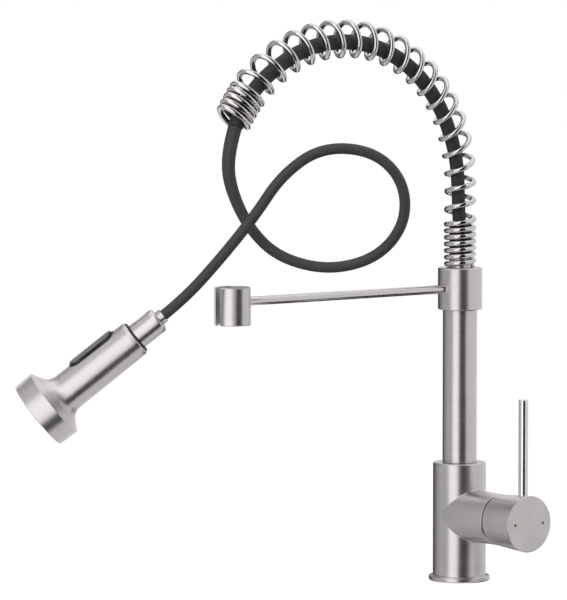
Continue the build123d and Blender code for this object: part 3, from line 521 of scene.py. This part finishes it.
# How far the outline is set in, and how far it has risen, in millimetres.
BUTTON_RINGS = (
    (0, 0), (0, 7.1), (0.08, 7.45), (0.3, 7.78), (0.65, 8.0), (1.1, 8.1), (1.7, 8.15),
    (3.0, 8.15), (4.4, 8.15), (6.0, 8.15),
)


def stadium(half_length, half_width):
    """Outline of a bar with round ends, as (across, along) points."""
    straight = half_length - half_width
    outline = []
    for end in (1, -1):
        for step in range(ROUND_STEPS + 1):
            angle = math.pi * step / ROUND_STEPS
            along = straight + half_width * math.sin(angle)
            outline.append((end * half_width * math.cos(angle), end * along))
    return outline


def button_shape():
    """Button whose top is crowned across and falls a little to its ends."""
    vertices = []
    for inset, rise in BUTTON_RINGS:
        for across, along in stadium(BUTTON_HALF_LENGTH - inset, BUTTON_HALF_WIDTH - inset):
            crown = CROWN_R - math.sqrt(CROWN_R ** 2 - across ** 2)
            drop = END_DROP * (along / BUTTON_HALF_LENGTH) ** 2
            share = rise / BUTTON_RINGS[-1][1]
            out = BUTTON_FOOT + rise - (crown + drop) * share ** 3
            vertices.append(head_place(out, across, BUTTON_MIDDLE + along))
    count = len(vertices) // len(BUTTON_RINGS)
    faces = [tuple(range(count)), tuple(range(len(vertices) - count, len(vertices)))]
    for ring in range(len(BUTTON_RINGS) - 1):
        for step in range(count):
            here, beside = ring * count + step, ring * count + (step + 1) % count
            faces.append((here, beside, beside + count, here + count))
    return meshed("button_rocker", vertices, faces)


button = button_shape()
bore_ends = [head_place(PIN_OUT, across, BUTTON_MIDDLE) for across in (-PIN_REACH, PIN_REACH)]
pin_bore = tube_piece("pin_bore", bore_ends, lambda along, angle: PIN_BORE_R * MM, PIN_SIDES)
cut = button.modifiers.new("pin_bore", "BOOLEAN")
cut.object = pin_bore
shaped = bpy.data.meshes.new_from_object(button.evaluated_get(bpy.context.evaluated_depsgraph_get()))
button.modifiers.clear()
button.data = shaped
bpy.data.objects.remove(pin_bore)
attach(button, "spray_button")
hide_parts("spray_button")
print("button faces", len(button.data.polygons))

# %% [markdown]
# A material is a small tree of nodes. Most helpers below add one node and
# give back its output, so that a recipe further on reads like a sum.
# Setting up the same trees by hand in the shader editor would work too, but
# a recipe in code can be used again with other numbers.
# %% Node helpers
NOISE_LOW, NOISE_HIGH = 0.3, 0.7


def link(tree, value, socket):
    """Feed a socket from another socket or with a constant."""
    if isinstance(value, bpy.types.NodeSocket):
        tree.links.new(value, socket)
    else:
        socket.default_value = value


def vector_math(tree, operation, first, second=None, scale=None):
    """Vector arithmetic, which gives a number for a dot product or a length."""
    node = tree.nodes.new("ShaderNodeVectorMath")
    node.operation = operation
    link(tree, first, node.inputs[0])
    if second is not None:
        link(tree, second, node.inputs[1])
    if scale is not None:
        link(tree, scale, node.inputs["Scale"])
    return node.outputs["Value" if operation in ("DOT_PRODUCT", "LENGTH") else "Vector"]


def number_math(tree, operation, first, second=0.0):
    node = tree.nodes.new("ShaderNodeMath")
    node.operation = operation
    link(tree, first, node.inputs[0])
    link(tree, second, node.inputs[1])
    return node.outputs[0]


def object_place(tree):
    """Place on the piece in its own coordinates, which ride with it."""
    return tree.nodes.new("ShaderNodeTexCoord").outputs["Object"]


def noise(tree, vector, scale, detail=3.0):
    node = tree.nodes.new("ShaderNodeTexNoise")
    link(tree, vector, node.inputs["Vector"])
    node.inputs["Scale"].default_value = scale
    node.inputs["Detail"].default_value = detail
    return node.outputs["Fac"]


def spread(tree, value, low, high):
    """Carry a noise value, which stays near the middle, to a range."""
    node = tree.nodes.new("ShaderNodeMapRange")
    link(tree, value, node.inputs["Value"])
    node.inputs["From Min"].default_value = NOISE_LOW
    node.inputs["From Max"].default_value = NOISE_HIGH
    node.inputs["To Min"].default_value = low
    node.inputs["To Max"].default_value = high
    return node.outputs["Result"]


def mixed(tree, kind, amount, first, second):
    """Mix of two colours or two vectors, whose sockets go by number in this node."""
    node = tree.nodes.new("ShaderNodeMix")
    node.data_type = kind
    sockets = {"VECTOR": (4, 5, 1), "RGBA": (6, 7, 2)}[kind]
    link(tree, amount, node.inputs[0])
    link(tree, first, node.inputs[sockets[0]])
    link(tree, second, node.inputs[sockets[1]])
    return node.outputs[sockets[2]]


def blended(tree, amount, first, second):
    """Blend of two plain colours."""
    return mixed(tree, "RGBA", amount, (*first, 1.0), (*second, 1.0))


def shaded(colour, share):
    """A colour made darker or lighter by a share."""
    return tuple(channel * share for channel in colour)


def bumped(tree, height, shader, depth):
    """Let a height tilt the shader's normal."""
    node = tree.nodes.new("ShaderNodeBump")
    node.inputs["Distance"].default_value = depth
    link(tree, height, node.inputs["Height"])
    tree.links.new(node.outputs["Normal"], shader.inputs["Normal"])


def new_material(name):
    """Material with its tree and its main shader."""
    material = bpy.data.materials.new(name)
    material.use_nodes = True
    tree = material.node_tree
    return material, tree, tree.nodes["Principled BSDF"]


# %% [markdown]
# The turned parts are brushed: an abrasive belt is held against them while
# they spin, which leaves fine scratches round the axis. Noise that is
# stretched round the axis gives the scratches, and an anisotropic gloss
# spreads highlights across them. Both follow a named axis, so one recipe
# serves the column, the handle and the tilted spray head.
# %% Brushed metal
STEEL = (0.60, 0.575, 0.57)
STEEL_DARKER, STEEL_LIGHTER = 0.90, 1.06
SCRATCH_ALONG = 2600.0
SCRATCH_ROUND = 50.0
SCRATCH_DEPTH = 0.000004
BROAD_SCALE = 0.22
FINE_SHARE, BROAD_SHARE = 0.6, 0.4
ROUGHNESS_SWING = 0.05
QUARTER_TURN = 0.25
BRUSHED_ROUGHNESS = 0.36
BRUSHED_ANISOTROPY = 0.6
AXIS_Z = Vector((0, 0, 1))
HANDLE_AXIS = Vector((1, 0, 0))
HANDLE_ORIGIN = Vector((0, 0, 0.0545))
ARM_AXIS = Vector((0, 1, 0))
ARM_ORIGIN = Vector((0, 0, 0.2396))
RING_ORIGIN = Vector((0, -0.2315, 0))


def turned_coordinates(tree, origin, axis):
    """Position seen from the axis, and the direction that runs round it."""
    from_axis = vector_math(tree, "SUBTRACT", object_place(tree), origin)
    along = vector_math(tree, "DOT_PRODUCT", from_axis, axis)
    stretch = vector_math(tree, "SCALE", axis, scale=along)
    fine = vector_math(tree, "SCALE", stretch, scale=SCRATCH_ALONG - SCRATCH_ROUND)
    broad = vector_math(tree, "SCALE", from_axis, scale=SCRATCH_ROUND)
    grain = vector_math(tree, "ADD", fine, broad)
    round_it = vector_math(tree, "NORMALIZE", vector_math(tree, "CROSS_PRODUCT", axis, from_axis))
    return grain, round_it


def finish_brushed(tree, shader, grain, round_it, roughness, anisotropy):
    """Scratches in colour, gloss and relief, and a gloss spread across them."""
    fine = noise(tree, grain, 1.0, 4.0)
    broad = noise(tree, grain, BROAD_SCALE, 2.0)
    fine_part = number_math(tree, "MULTIPLY", fine, FINE_SHARE)
    broad_part = number_math(tree, "MULTIPLY", broad, BROAD_SHARE)
    scratches = number_math(tree, "ADD", fine_part, broad_part)
    tone = spread(tree, scratches, 0.0, 1.0)
    colour = blended(tree, tone, shaded(STEEL, STEEL_DARKER), shaded(STEEL, STEEL_LIGHTER))
    tree.links.new(colour, shader.inputs["Base Color"])
    gloss = spread(tree, fine, roughness - ROUGHNESS_SWING, roughness + ROUGHNESS_SWING)
    tree.links.new(gloss, shader.inputs["Roughness"])
    shader.inputs["Metallic"].default_value = 1.0
    shader.inputs["Anisotropic"].default_value = anisotropy
    shader.inputs["Anisotropic Rotation"].default_value = QUARTER_TURN
    turn = tree.nodes.new("ShaderNodeVectorTransform")
    turn.vector_type = "VECTOR"
    turn.convert_from = "OBJECT"
    turn.convert_to = "WORLD"
    tree.links.new(round_it, turn.inputs["Vector"])
    tree.links.new(turn.outputs["Vector"], shader.inputs["Tangent"])
    bumped(tree, scratches, shader, SCRATCH_DEPTH)


def brushed_metal(
    name, origin, axis, roughness=BRUSHED_ROUGHNESS, anisotropy=BRUSHED_ANISOTROPY
):
    """Metal brushed round an axis through origin."""
    material, tree, shader = new_material(name)
    grain, round_it = turned_coordinates(tree, origin, axis)
    finish_brushed(tree, shader, grain, round_it, roughness, anisotropy)
    return material


column_brushed = brushed_metal("column_brushed", Vector((0, 0, 0)), AXIS_Z)
handle_brushed = brushed_metal("handle_brushed", HANDLE_ORIGIN, HANDLE_AXIS)
arm_brushed = brushed_metal("arm_brushed", ARM_ORIGIN, ARM_AXIS, 0.12, 0.1)
ring_brushed = brushed_metal("ring_brushed", RING_ORIGIN, AXIS_Z)
head_brushed = brushed_metal("head_brushed", HEAD_ORIGIN, HEAD_AXIS)
nut_satin = brushed_metal("nut_satin", HEAD_ORIGIN, HEAD_AXIS, 0.33, 0.5)
print("first and last brushed metal", column_brushed.name, nut_satin.name)

# %% [markdown]
# The mixer body is one casting with two axes: the upright one of the column
# and the level one of the handle. The scratches change direction at the
# seam between them, which lies at the upright's radius, so the material
# picks its axis by the distance from the upright's middle.
# %% Mixer body
BODY_R = 0.0217
SEAM_ROOM = 0.0001


def body_metal():
    """Metal brushed round the column's axis, and round the handle's further out."""
    material, tree, shader = new_material("body_brushed")
    upright, upright_round = turned_coordinates(tree, Vector((0, 0, 0)), AXIS_Z)
    level, level_round = turned_coordinates(tree, HANDLE_ORIGIN, HANDLE_AXIS)
    flat = vector_math(tree, "MULTIPLY", object_place(tree), Vector((1, 1, 0)))
    from_middle = vector_math(tree, "LENGTH", flat)
    outside = number_math(tree, "GREATER_THAN", from_middle, BODY_R + SEAM_ROOM)
    grain = mixed(tree, "VECTOR", outside, upright, level)
    round_it = mixed(tree, "VECTOR", outside, upright_round, level_round)
    finish_brushed(tree, shader, grain, round_it, BRUSHED_ROUGHNESS, BRUSHED_ANISOTROPY)
    return material


body_brushed = body_metal()
print("mixer body", len(body_brushed.node_tree.nodes), "nodes in its material")

# %% [markdown]
# The spring's wire, the lever and the small screws are polished instead.
# Polished steel is smooth but never perfect, so its roughness wanders a
# little over each piece. The brass of the hidden fittings is made by the
# same recipe, with its own colour and a duller gloss.
# %% Polished metal
CLOUD_SCALE = 160.0
CLOUD_LOW, CLOUD_HIGH = 0.7, 1.3
POLISH_TONE_SCALE = 45.0
POLISH_DARKER = 0.93
POLISH_GRAIN_SCALE = 900.0
POLISH_DEPTH = 0.000004


def polished_metal(name, colour, roughness):
    """Metal whose roughness and tone wander a little."""
    material, tree, shader = new_material(name)
    place = object_place(tree)
    cloudy = noise(tree, place, CLOUD_SCALE)
    gloss = spread(tree, cloudy, roughness * CLOUD_LOW, roughness * CLOUD_HIGH)
    tree.links.new(gloss, shader.inputs["Roughness"])
    tone = spread(tree, noise(tree, place, POLISH_TONE_SCALE), 0.0, 1.0)
    toned = blended(tree, tone, shaded(colour, POLISH_DARKER), colour)
    tree.links.new(toned, shader.inputs["Base Color"])
    shader.inputs["Metallic"].default_value = 1.0
    bumped(tree, noise(tree, place, POLISH_GRAIN_SCALE), shader, POLISH_DEPTH)
    return material


wire_polished = polished_metal("wire_polished", (0.64, 0.62, 0.61), 0.14)
part_polished = polished_metal("part_polished", (0.72, 0.71, 0.70), 0.16)
brass = polished_metal("turned_brass", (0.72, 0.56, 0.30), 0.30)
print("materials so far", len(bpy.data.materials))

# %% [markdown]
# Plastics and rubber are moulded, and the two dots are enamel. Their surface
# has a very fine, even texture, which dulls the gloss and shows as small
# changes of tone. Colour and roughness tell them apart here.
# %% Plastic and rubber
MOULD_TEXTURE_SCALE = 1500.0
MOULD_TONE_SCALE = 60.0
MOULD_DARKER = 0.88
MOULD_SWING = 0.06
MOULD_DEPTH = 0.00001


def moulded(name, colour, roughness):
    """Moulded surface with a fine texture and a slightly uneven tone."""
    material, tree, shader = new_material(name)
    place = object_place(tree)
    grain = noise(tree, place, MOULD_TEXTURE_SCALE, 2.0)
    tone = spread(tree, noise(tree, place, MOULD_TONE_SCALE), 0.0, 1.0)
    toned = blended(tree, tone, shaded(colour, MOULD_DARKER), colour)
    tree.links.new(toned, shader.inputs["Base Color"])
    gloss = spread(tree, grain, roughness - MOULD_SWING, roughness + MOULD_SWING)
    tree.links.new(gloss, shader.inputs["Roughness"])
    bumped(tree, grain, shader, MOULD_DEPTH)
    return material


black_rubber = moulded("black_rubber", (0.018, 0.018, 0.019), 0.62)
liner_plastic = moulded("liner_plastic", (0.52, 0.52, 0.51), 0.30)
# Painted shade: the dust ring is coloured darker than black plastic, so the gap between housing and
# cap shows as shade.
painted_gap_shade = moulded("painted_gap_shade", (0.010, 0.010, 0.010), 0.80)
black_plastic = moulded("black_plastic", (0.022, 0.022, 0.023), 0.42)
grey_plastic = moulded("grey_plastic", (0.165, 0.170, 0.170), 0.48)
white_plastic = moulded("white_plastic", (0.74, 0.74, 0.72), 0.40)
red_dot = moulded("red_enamel", (0.34, 0.008, 0.025), 0.25)
blue_dot = moulded("blue_enamel", (0.04, 0.15, 0.30), 0.25)
print("materials so far", len(bpy.data.materials))

# %% [markdown]
# The button's grey pad and its side, which is coloured black as painted
# shade, are one mesh, so its material has to tell them apart. It measures
# the distance from the spray head's axis: what lies further out than the
# pad's lower edge is grey, and what lies nearer is the painted shade. Two
# meshes would do as well, but their edges would have to meet exactly.
# %% Grey pad and painted shade of the button
PAD_FROM = 0.01715
# The first colour is painted shade for the button's side; the grey is the pad's own colour.
BUTTON_SIDE_SHADE = (0.016, 0.016, 0.017)
BUTTON_GREY = (0.165, 0.165, 0.165)


def grey_with_painted_shade(name, lower, upper):
    """Moulded with painted shade in the lower colour near the spray head's axis, and the upper colour
    further out.
    """
    material = moulded(name, lower, 0.48)
    tree = material.node_tree
    shader = tree.nodes["Principled BSDF"]
    place = object_place(tree)
    from_origin = vector_math(tree, "SUBTRACT", place, HEAD_ORIGIN)
    along = vector_math(tree, "DOT_PRODUCT", from_origin, HEAD_AXIS)
    on_axis = vector_math(tree, "SCALE", HEAD_AXIS, scale=along)
    distance = vector_math(tree, "LENGTH", vector_math(tree, "SUBTRACT", from_origin, on_axis))
    # What lies nearer the axis than the pad keeps the painted shade colour.
    is_pad = number_math(tree, "GREATER_THAN", distance, PAD_FROM)
    tone = spread(tree, noise(tree, place, MOULD_TONE_SCALE), 0.0, 1.0)
    pad = blended(tree, tone, shaded(upper, MOULD_DARKER), upper)
    base = shader.inputs["Base Color"].links[0].from_socket
    tree.links.new(mixed(tree, "RGBA", is_pad, base, pad), shader.inputs["Base Color"])
    return material


button_painted_shade = grey_with_painted_shade("button_pad_and_painted_side_shade", BUTTON_SIDE_SHADE, BUTTON_GREY)
print("pad from", PAD_FROM, "m off the axis")

# %% [markdown]
# The sleeve's strands cross each other at a slant. Two families of stripes
# are drawn over the sleeve's own map, one leaning each way, and where one
# passes over the other it stands a little higher. The colour is painted
# lighter there and darker between the strands, as painted highlight and
# painted shade, and lengthwise streaks of noise add a random tone.
# %% Braided sleeve
STREAK_SCALE = 1400.0
BRAID_PAINTED_SHADE = 0.45
BRAID_HIGHEST = 1.6
BRAID_ROUGHNESS = 0.62
BRAID_DEPTH = 0.00004


def braided(name, colour, strands, pitch):
    """Braid with that many strands each way, each climbing by pitch in a turn."""
    material, tree, shader = new_material(name)
    sleeve = tree.nodes.new("ShaderNodeUVMap")
    sleeve.uv_map = SLEEVE_MAP
    parts = tree.nodes.new("ShaderNodeSeparateXYZ")
    tree.links.new(sleeve.outputs["UV"], parts.inputs["Vector"])
    along = number_math(tree, "MULTIPLY", parts.outputs["X"], math.tau / pitch)
    around = number_math(tree, "MULTIPLY", parts.outputs["Y"], math.tau * strands)
    left = number_math(tree, "SINE", number_math(tree, "ADD", around, along))
    right = number_math(tree, "SINE", number_math(tree, "SUBTRACT", around, along))
    crossing = number_math(tree, "MAXIMUM", left, right)
    streak = noise(tree, object_place(tree), STREAK_SCALE)
    height = number_math(tree, "ADD", crossing, streak)
    shade = tree.nodes.new("ShaderNodeMapRange")
    link(tree, height, shade.inputs["Value"])
    shade.inputs["From Min"].default_value = 0.0
    shade.inputs["From Max"].default_value = BRAID_HIGHEST
    # Painted highlight and shade: lighter where strands cross, darker between them.
    toned = blended(tree, shade.outputs["Result"], shaded(colour, BRAID_PAINTED_SHADE), colour)
    tree.links.new(toned, shader.inputs["Base Color"])
    shader.inputs["Roughness"].default_value = BRAID_ROUGHNESS
    bumped(tree, height, shader, BRAID_DEPTH)
    return material


free_sleeve = braided("free_hose_braid", (0.049, 0.048, 0.048), FREE_RIBS, 0.0022)
held_sleeve = braided("spring_hose_braid", (0.030, 0.030, 0.034), HOSE_RIBS, 0.0030)
print("materials in all", len(bpy.data.materials))

# %% [markdown]
# Each CAD node is now given its finish by name. A node has one material
# slot, and filling it changes the look without touching the mesh. The
# pieces that were built above get theirs in the same way.
# %% Finishes of all pieces
FINISHES = [
    (column_brushed, ["deck_flange", "column_tube", "arm_collar", "spring_seat"]),
    (body_brushed, ["mixer_body"]),
    (handle_brushed, ["handle_cap"]),
    (arm_brushed, ["arm_rod"]),
    (ring_brushed, ["docking_ring"]),
    (head_brushed, ["grip_shell"]),
    (nut_satin, ["swivel_nut", "hose_ferrule"]),
    (part_polished, ["lever", "spout_lock_screw", "tilt_pin", "lever_set_screw"]),
    (part_polished, ["arm_grub_screw", "button_pin"]),
    (brass, ["inlet_block", "cartridge_nut", "stem_carrier", "drive_finger"]),
    (brass, ["column_spigot", "column_neck", "hose_tail_fitting", "inlet_connector"]),
    (black_rubber, ["base_seal", "cartridge_seals", "spout_o_rings"]),
    (black_rubber, ["filter_washer", "grip_gasket", "nozzle_mat"]),
    (black_plastic, ["glide_washer", "button_surround", "diverter_plunger", "face_plate"]),
    # The dust ring's near-black is painted shade for the gap.
    (painted_gap_shade, ["dust_ring"]),
    (liner_plastic, ["ring_liner"]),
    (white_plastic, ["cartridge", "spout_guide_rings", "collar_washer", "collar_liner"]),
    (white_plastic, ["check_valve", "diverter_core", "flow_distributor"]),
    (grey_plastic, ["spray_button", "aerator"]),
    (red_dot, ["hot_dot"]),
    (blue_dot, ["cold_dot"]),
]
BUILT_FINISHES = [
    (free_hose, free_sleeve),
    (held_hose, held_sleeve),
    (spring, wire_polished),
    (nut, nut_satin),
    (gasket, black_rubber),
    # The foot sleeve's black rubber is painted shade.
    (foot_shade_sleeve, black_rubber),
    (button, button_painted_shade),
]


def give(piece, material):
    """Fill a piece's one material slot."""
    piece.data.materials.clear()
    piece.data.materials.append(material)


for material, names in FINISHES:
    for name in names:
        give(nodes[name], material)
for piece, material in BUILT_FINISHES:
    give(piece, material)
finished = {name for material, names in FINISHES for name in names}
print("nodes without a finish", sorted(set(nodes) - finished))

# %% [markdown]
# Brushed metal shows its surroundings as soft bands, so the studio is laid
# out for the metal: glowing sheets stand round the object, some bright and
# some black. Only reflections see them. The lamps and the white world light
# everything else evenly. A picture of a studio wrapped round the world would
# be quicker, but single sheets can be moved one by one.
# %% Cards for the reflections
TOWARDS_CAMERA = Vector((-view_line.x, -view_line.y, 0)).normalized()
ACROSS = Vector((0, 0, 1)).cross(TOWARDS_CAMERA)
TENT_R = 2.6
TENT_STEP = math.radians(5)


def plan(across, towards, height):
    """Place given by metres to the camera's right, metres towards it, and height."""
    return ACROSS * across + TOWARDS_CAMERA * towards + Vector((0, 0, height))


def round_plan(azimuth, height):
    """Place on the tent's wall, its azimuth counted from the camera to the right."""
    return plan(TENT_R * math.sin(azimuth), TENT_R * math.cos(azimuth), height)


def glowing(name, level):
    """Material that glows evenly and reflects nothing."""
    material = bpy.data.materials.new(name)
    material.use_nodes = True
    tree = material.node_tree
    tree.nodes.clear()
    glow = tree.nodes.new("ShaderNodeEmission")
    glow.inputs["Strength"].default_value = level
    output = tree.nodes.new("ShaderNodeOutputMaterial")
    tree.links.new(glow.outputs["Emission"], output.inputs["Surface"])
    return material


def card(name, corners, faces, level):
    """Sheet of one brightness that only reflections see."""
    mesh = bpy.data.meshes.new(name)
    mesh.from_pydata(corners, [], faces)
    mesh.materials.append(glowing(name, level))
    piece = bpy.data.objects.new(name, mesh)
    bpy.context.scene.collection.objects.link(piece)
    piece.visible_camera = False
    piece.visible_diffuse = False
    piece.visible_transmission = False
    piece.visible_shadow = False
    return piece


def board(name, level, *corners):
    """Flat card with any number of corners, given in plan."""
    return card(name, [plan(*corner) for corner in corners], [tuple(range(len(corners)))], level)


def spoke(name, level, azimuth, near, far, low, high):
    """Card that stands edge on to the column, so only pieces beside it see its face."""
    x, y = math.sin(math.radians(azimuth)), math.cos(math.radians(azimuth))
    ends = ((near, low), (far, low), (far, high), (near, high))
    return board(name, level, *((x * reach, y * reach, height) for reach, height in ends))


def wall(name, level, first, last, low, high):
    """Part of the tent from one azimuth to another, in degrees, and from low to high."""
    first, last = math.radians(first), math.radians(last)
    steps = math.ceil((last - first) / TENT_STEP)
    corners = []
    for step in range(steps + 1):
        azimuth = first + (last - first) * step / steps
        corners += [round_plan(azimuth, low), round_plan(azimuth, high)]
    faces = [(2 * step, 2 * step + 2, 2 * step + 3, 2 * step + 1) for step in range(steps)]
    return card(name, corners, faces, level)


# %% [markdown]
# A round tent of paler and darker walls stands a few metres off, with a
# ceiling and a board underneath. Its levels were set by comparing the
# brightness across each piece with the photograph, which shows one side
# only. The other sides reflect the same tent and were matched to nothing.
# %% Tent of walls
TENT_FOOT, TENT_TOP = -3.0, 3.0
SIDE_SPLIT = -0.6
DARK_FOOT, DARK_TOP = -1.4, 0.8

wall("front_wall", 0.88, -40, 35, TENT_FOOT, TENT_TOP)
wall("right_wall", 0.88, 35, 150, TENT_FOOT, TENT_TOP)
wall("left_wall", 0.56, -92, -40, TENT_FOOT, TENT_TOP)
wall("left_side_wall", 0.39, -128, -92, SIDE_SPLIT, TENT_TOP)
wall("left_side_lower_wall", 0.62, -128, -92, TENT_FOOT, SIDE_SPLIT)
wall("left_dark_wall", 0.03, -158, -128, TENT_FOOT, DARK_FOOT)
wall("left_middle_wall", 0.10, -172, -128, DARK_FOOT, DARK_TOP)
wall("left_upper_wall", 0.27, -158, -128, DARK_TOP, TENT_TOP)
wall("back_lower_wall", 0.95, -172, -158, TENT_FOOT, DARK_FOOT)
wall("back_wall", 0.95, 150, 188, TENT_FOOT, TENT_TOP)
wall("back_upper_wall", 0.95, -172, -158, DARK_TOP, TENT_TOP)
for name, level, height in (("ceiling", 1.25, TENT_TOP), ("under_board", 0.80, TENT_FOOT)):
    board(name, level, (-3, -3, height), (3, -3, height), (3, 3, height), (-3, 3, height))
print("tent", TENT_R, "m in radius and", TENT_TOP - TENT_FOOT, "m high")

# %% [markdown]
# Nearer sheets give the bands on single pieces. A tall bright box stands at
# the front left, a black board close by at the front right, and a slanted
# black one lies low in front. The two rod boards lie below and behind the
# arm rod. The first has many corners, because its outline follows where the
# rod's reflections fall. The handle board and the ring card serve the
# pieces that they are named after. All were placed by the same comparison.
# %% Boards near the object
BLACK = 0.01
ROD_BOARD_HEIGHT = -0.1
ROD_BOARD_PLAN = (
    (-0.111, -0.546), (-0.06, -0.24), (0.0, -0.10), (0.05, 0.0), (0.146, 0.09), (0.26, 0.16),
    (0.55, 0.08), (0.40, -0.10), (0.30, -0.25), (0.16, -0.64), (-0.12, -0.64),
)

board(
    "bright_box", 1.60,
    (-1.20, 1.00, -0.6), (-0.20, 1.15, -0.6), (-0.20, 1.15, 1.9), (-1.20, 1.00, 1.9),
)
board(
    "black_board", BLACK,
    (-0.046, 0.488, -0.06), (0.277, 0.36, -0.06), (0.277, 0.36, 1.6), (-0.046, 0.488, 1.6),
)
board(
    "slanted_board", BLACK,
    (-0.69, 1.24, -0.68), (0.445, 1.24, 0.22), (0.727, 0.645, -0.13), (-0.406, 0.645, -1.03),
)
board("rod_board", BLACK, *((*place, ROD_BOARD_HEIGHT) for place in ROD_BOARD_PLAN))
board(
    "rod_board_rear", BLACK,
    (-0.18, -0.64, -0.1), (0.16, -0.64, -0.1), (0.16, -0.64, 0.17), (-0.18, -0.64, 0.17),
)
board(
    "handle_board", 0.02,
    (-0.065, -0.268, 0.388), (-0.135, -0.354, 0.246), (-0.321, -0.202, 0.246), (-0.251, -0.116, 0.388),
)
spoke("ring_card", 0.90, -92, 0.19, 2.4, -0.10, 0.30)
print("rod board with", len(ROD_BOARD_PLAN), "corners")

# %% [markdown]
# The floor is a wide pale sheet. Part of its light is its own, so it stays
# white, and the rest is received, so the object's soft shadow shows. It is
# left out of reflections, or the metal's bands would break off at the foot.
# %% Floor
FLOOR_HALF = 12.0
FLOOR_OWN = 0.88
FLOOR_GREY = 0.22


def shown_white(tree):
    """1 for rays from the camera, in reflections and through glass."""
    path = tree.nodes.new("ShaderNodeLightPath")
    seen = number_math(tree, "MAXIMUM", path.outputs["Is Camera Ray"], path.outputs["Is Glossy Ray"])
    return number_math(tree, "MAXIMUM", seen, path.outputs["Is Transmission Ray"])


floor_sides = ((-1, -1), (1, -1), (1, 1), (-1, 1))
floor_corners = [plan(x * FLOOR_HALF, y * FLOOR_HALF, 0) for x, y in floor_sides]
floor_mesh = bpy.data.meshes.new("floor")
floor_mesh.from_pydata(floor_corners, [], [(0, 1, 2, 3)])
floor = bpy.data.objects.new("floor", floor_mesh)
bpy.context.scene.collection.objects.link(floor)
floor.visible_glossy = False
floor_material, tree, shader = new_material("floor_white")
shader.inputs["Base Color"].default_value = (FLOOR_GREY, FLOOR_GREY, FLOOR_GREY, 1.0)
shader.inputs["Roughness"].default_value = 1.0
shader.inputs["Specular IOR Level"].default_value = 0.0
shader.inputs["Emission Color"].default_value = (1.0, 1.0, 1.0, 1.0)
floor_glow = number_math(tree, "MULTIPLY", shown_white(tree), FLOOR_OWN)
tree.links.new(floor_glow, shader.inputs["Emission Strength"])
floor_mesh.materials.append(floor_material)
print("floor", 2 * FLOOR_HALF, "m wide")

# %% [markdown]
# The world is white to the camera and in reflections and dimmer as a light,
# so the background is white and the colours stay as they are written. Two
# large square lamps, one at the front and a weaker one at the other side,
# give a soft shadow. A small lamp would draw hard edges.
# %% World and lamps
WORLD_LEVEL = 0.55
LAMP_SIZE = 1.6

world = bpy.data.worlds.new("studio")
bpy.context.scene.world = world
world.use_nodes = True
tree = world.node_tree
background = tree.nodes["Background"]
background.inputs["Color"].default_value = (1.0, 1.0, 1.0, 1.0)
own = number_math(tree, "MULTIPLY", shown_white(tree), 1 - WORLD_LEVEL)
tree.links.new(number_math(tree, "ADD", own, WORLD_LEVEL), background.inputs["Strength"])


def lamp(name, place, power):
    """Square soft lamp that faces the middle of the faucet and shows in no reflection."""
    data = bpy.data.lights.new(name, "AREA")
    data.shape = "SQUARE"
    data.size = LAMP_SIZE
    data.energy = power
    piece = bpy.data.objects.new(name, data)
    piece.location = place
    piece.rotation_euler = (Vector(place) - CAMERA_TARGET).to_track_quat("Z", "Y").to_euler()
    piece.visible_glossy = False
    piece.visible_camera = False
    bpy.context.scene.collection.objects.link(piece)


lamp("key_lamp", (1.0, -2.2, 1.8), 34)
lamp("fill_lamp", (2.2, 1.6, 1.2), 12)
bpy.context.scene.view_settings.view_transform = "Standard"
print("lamps", len(bpy.data.lights))
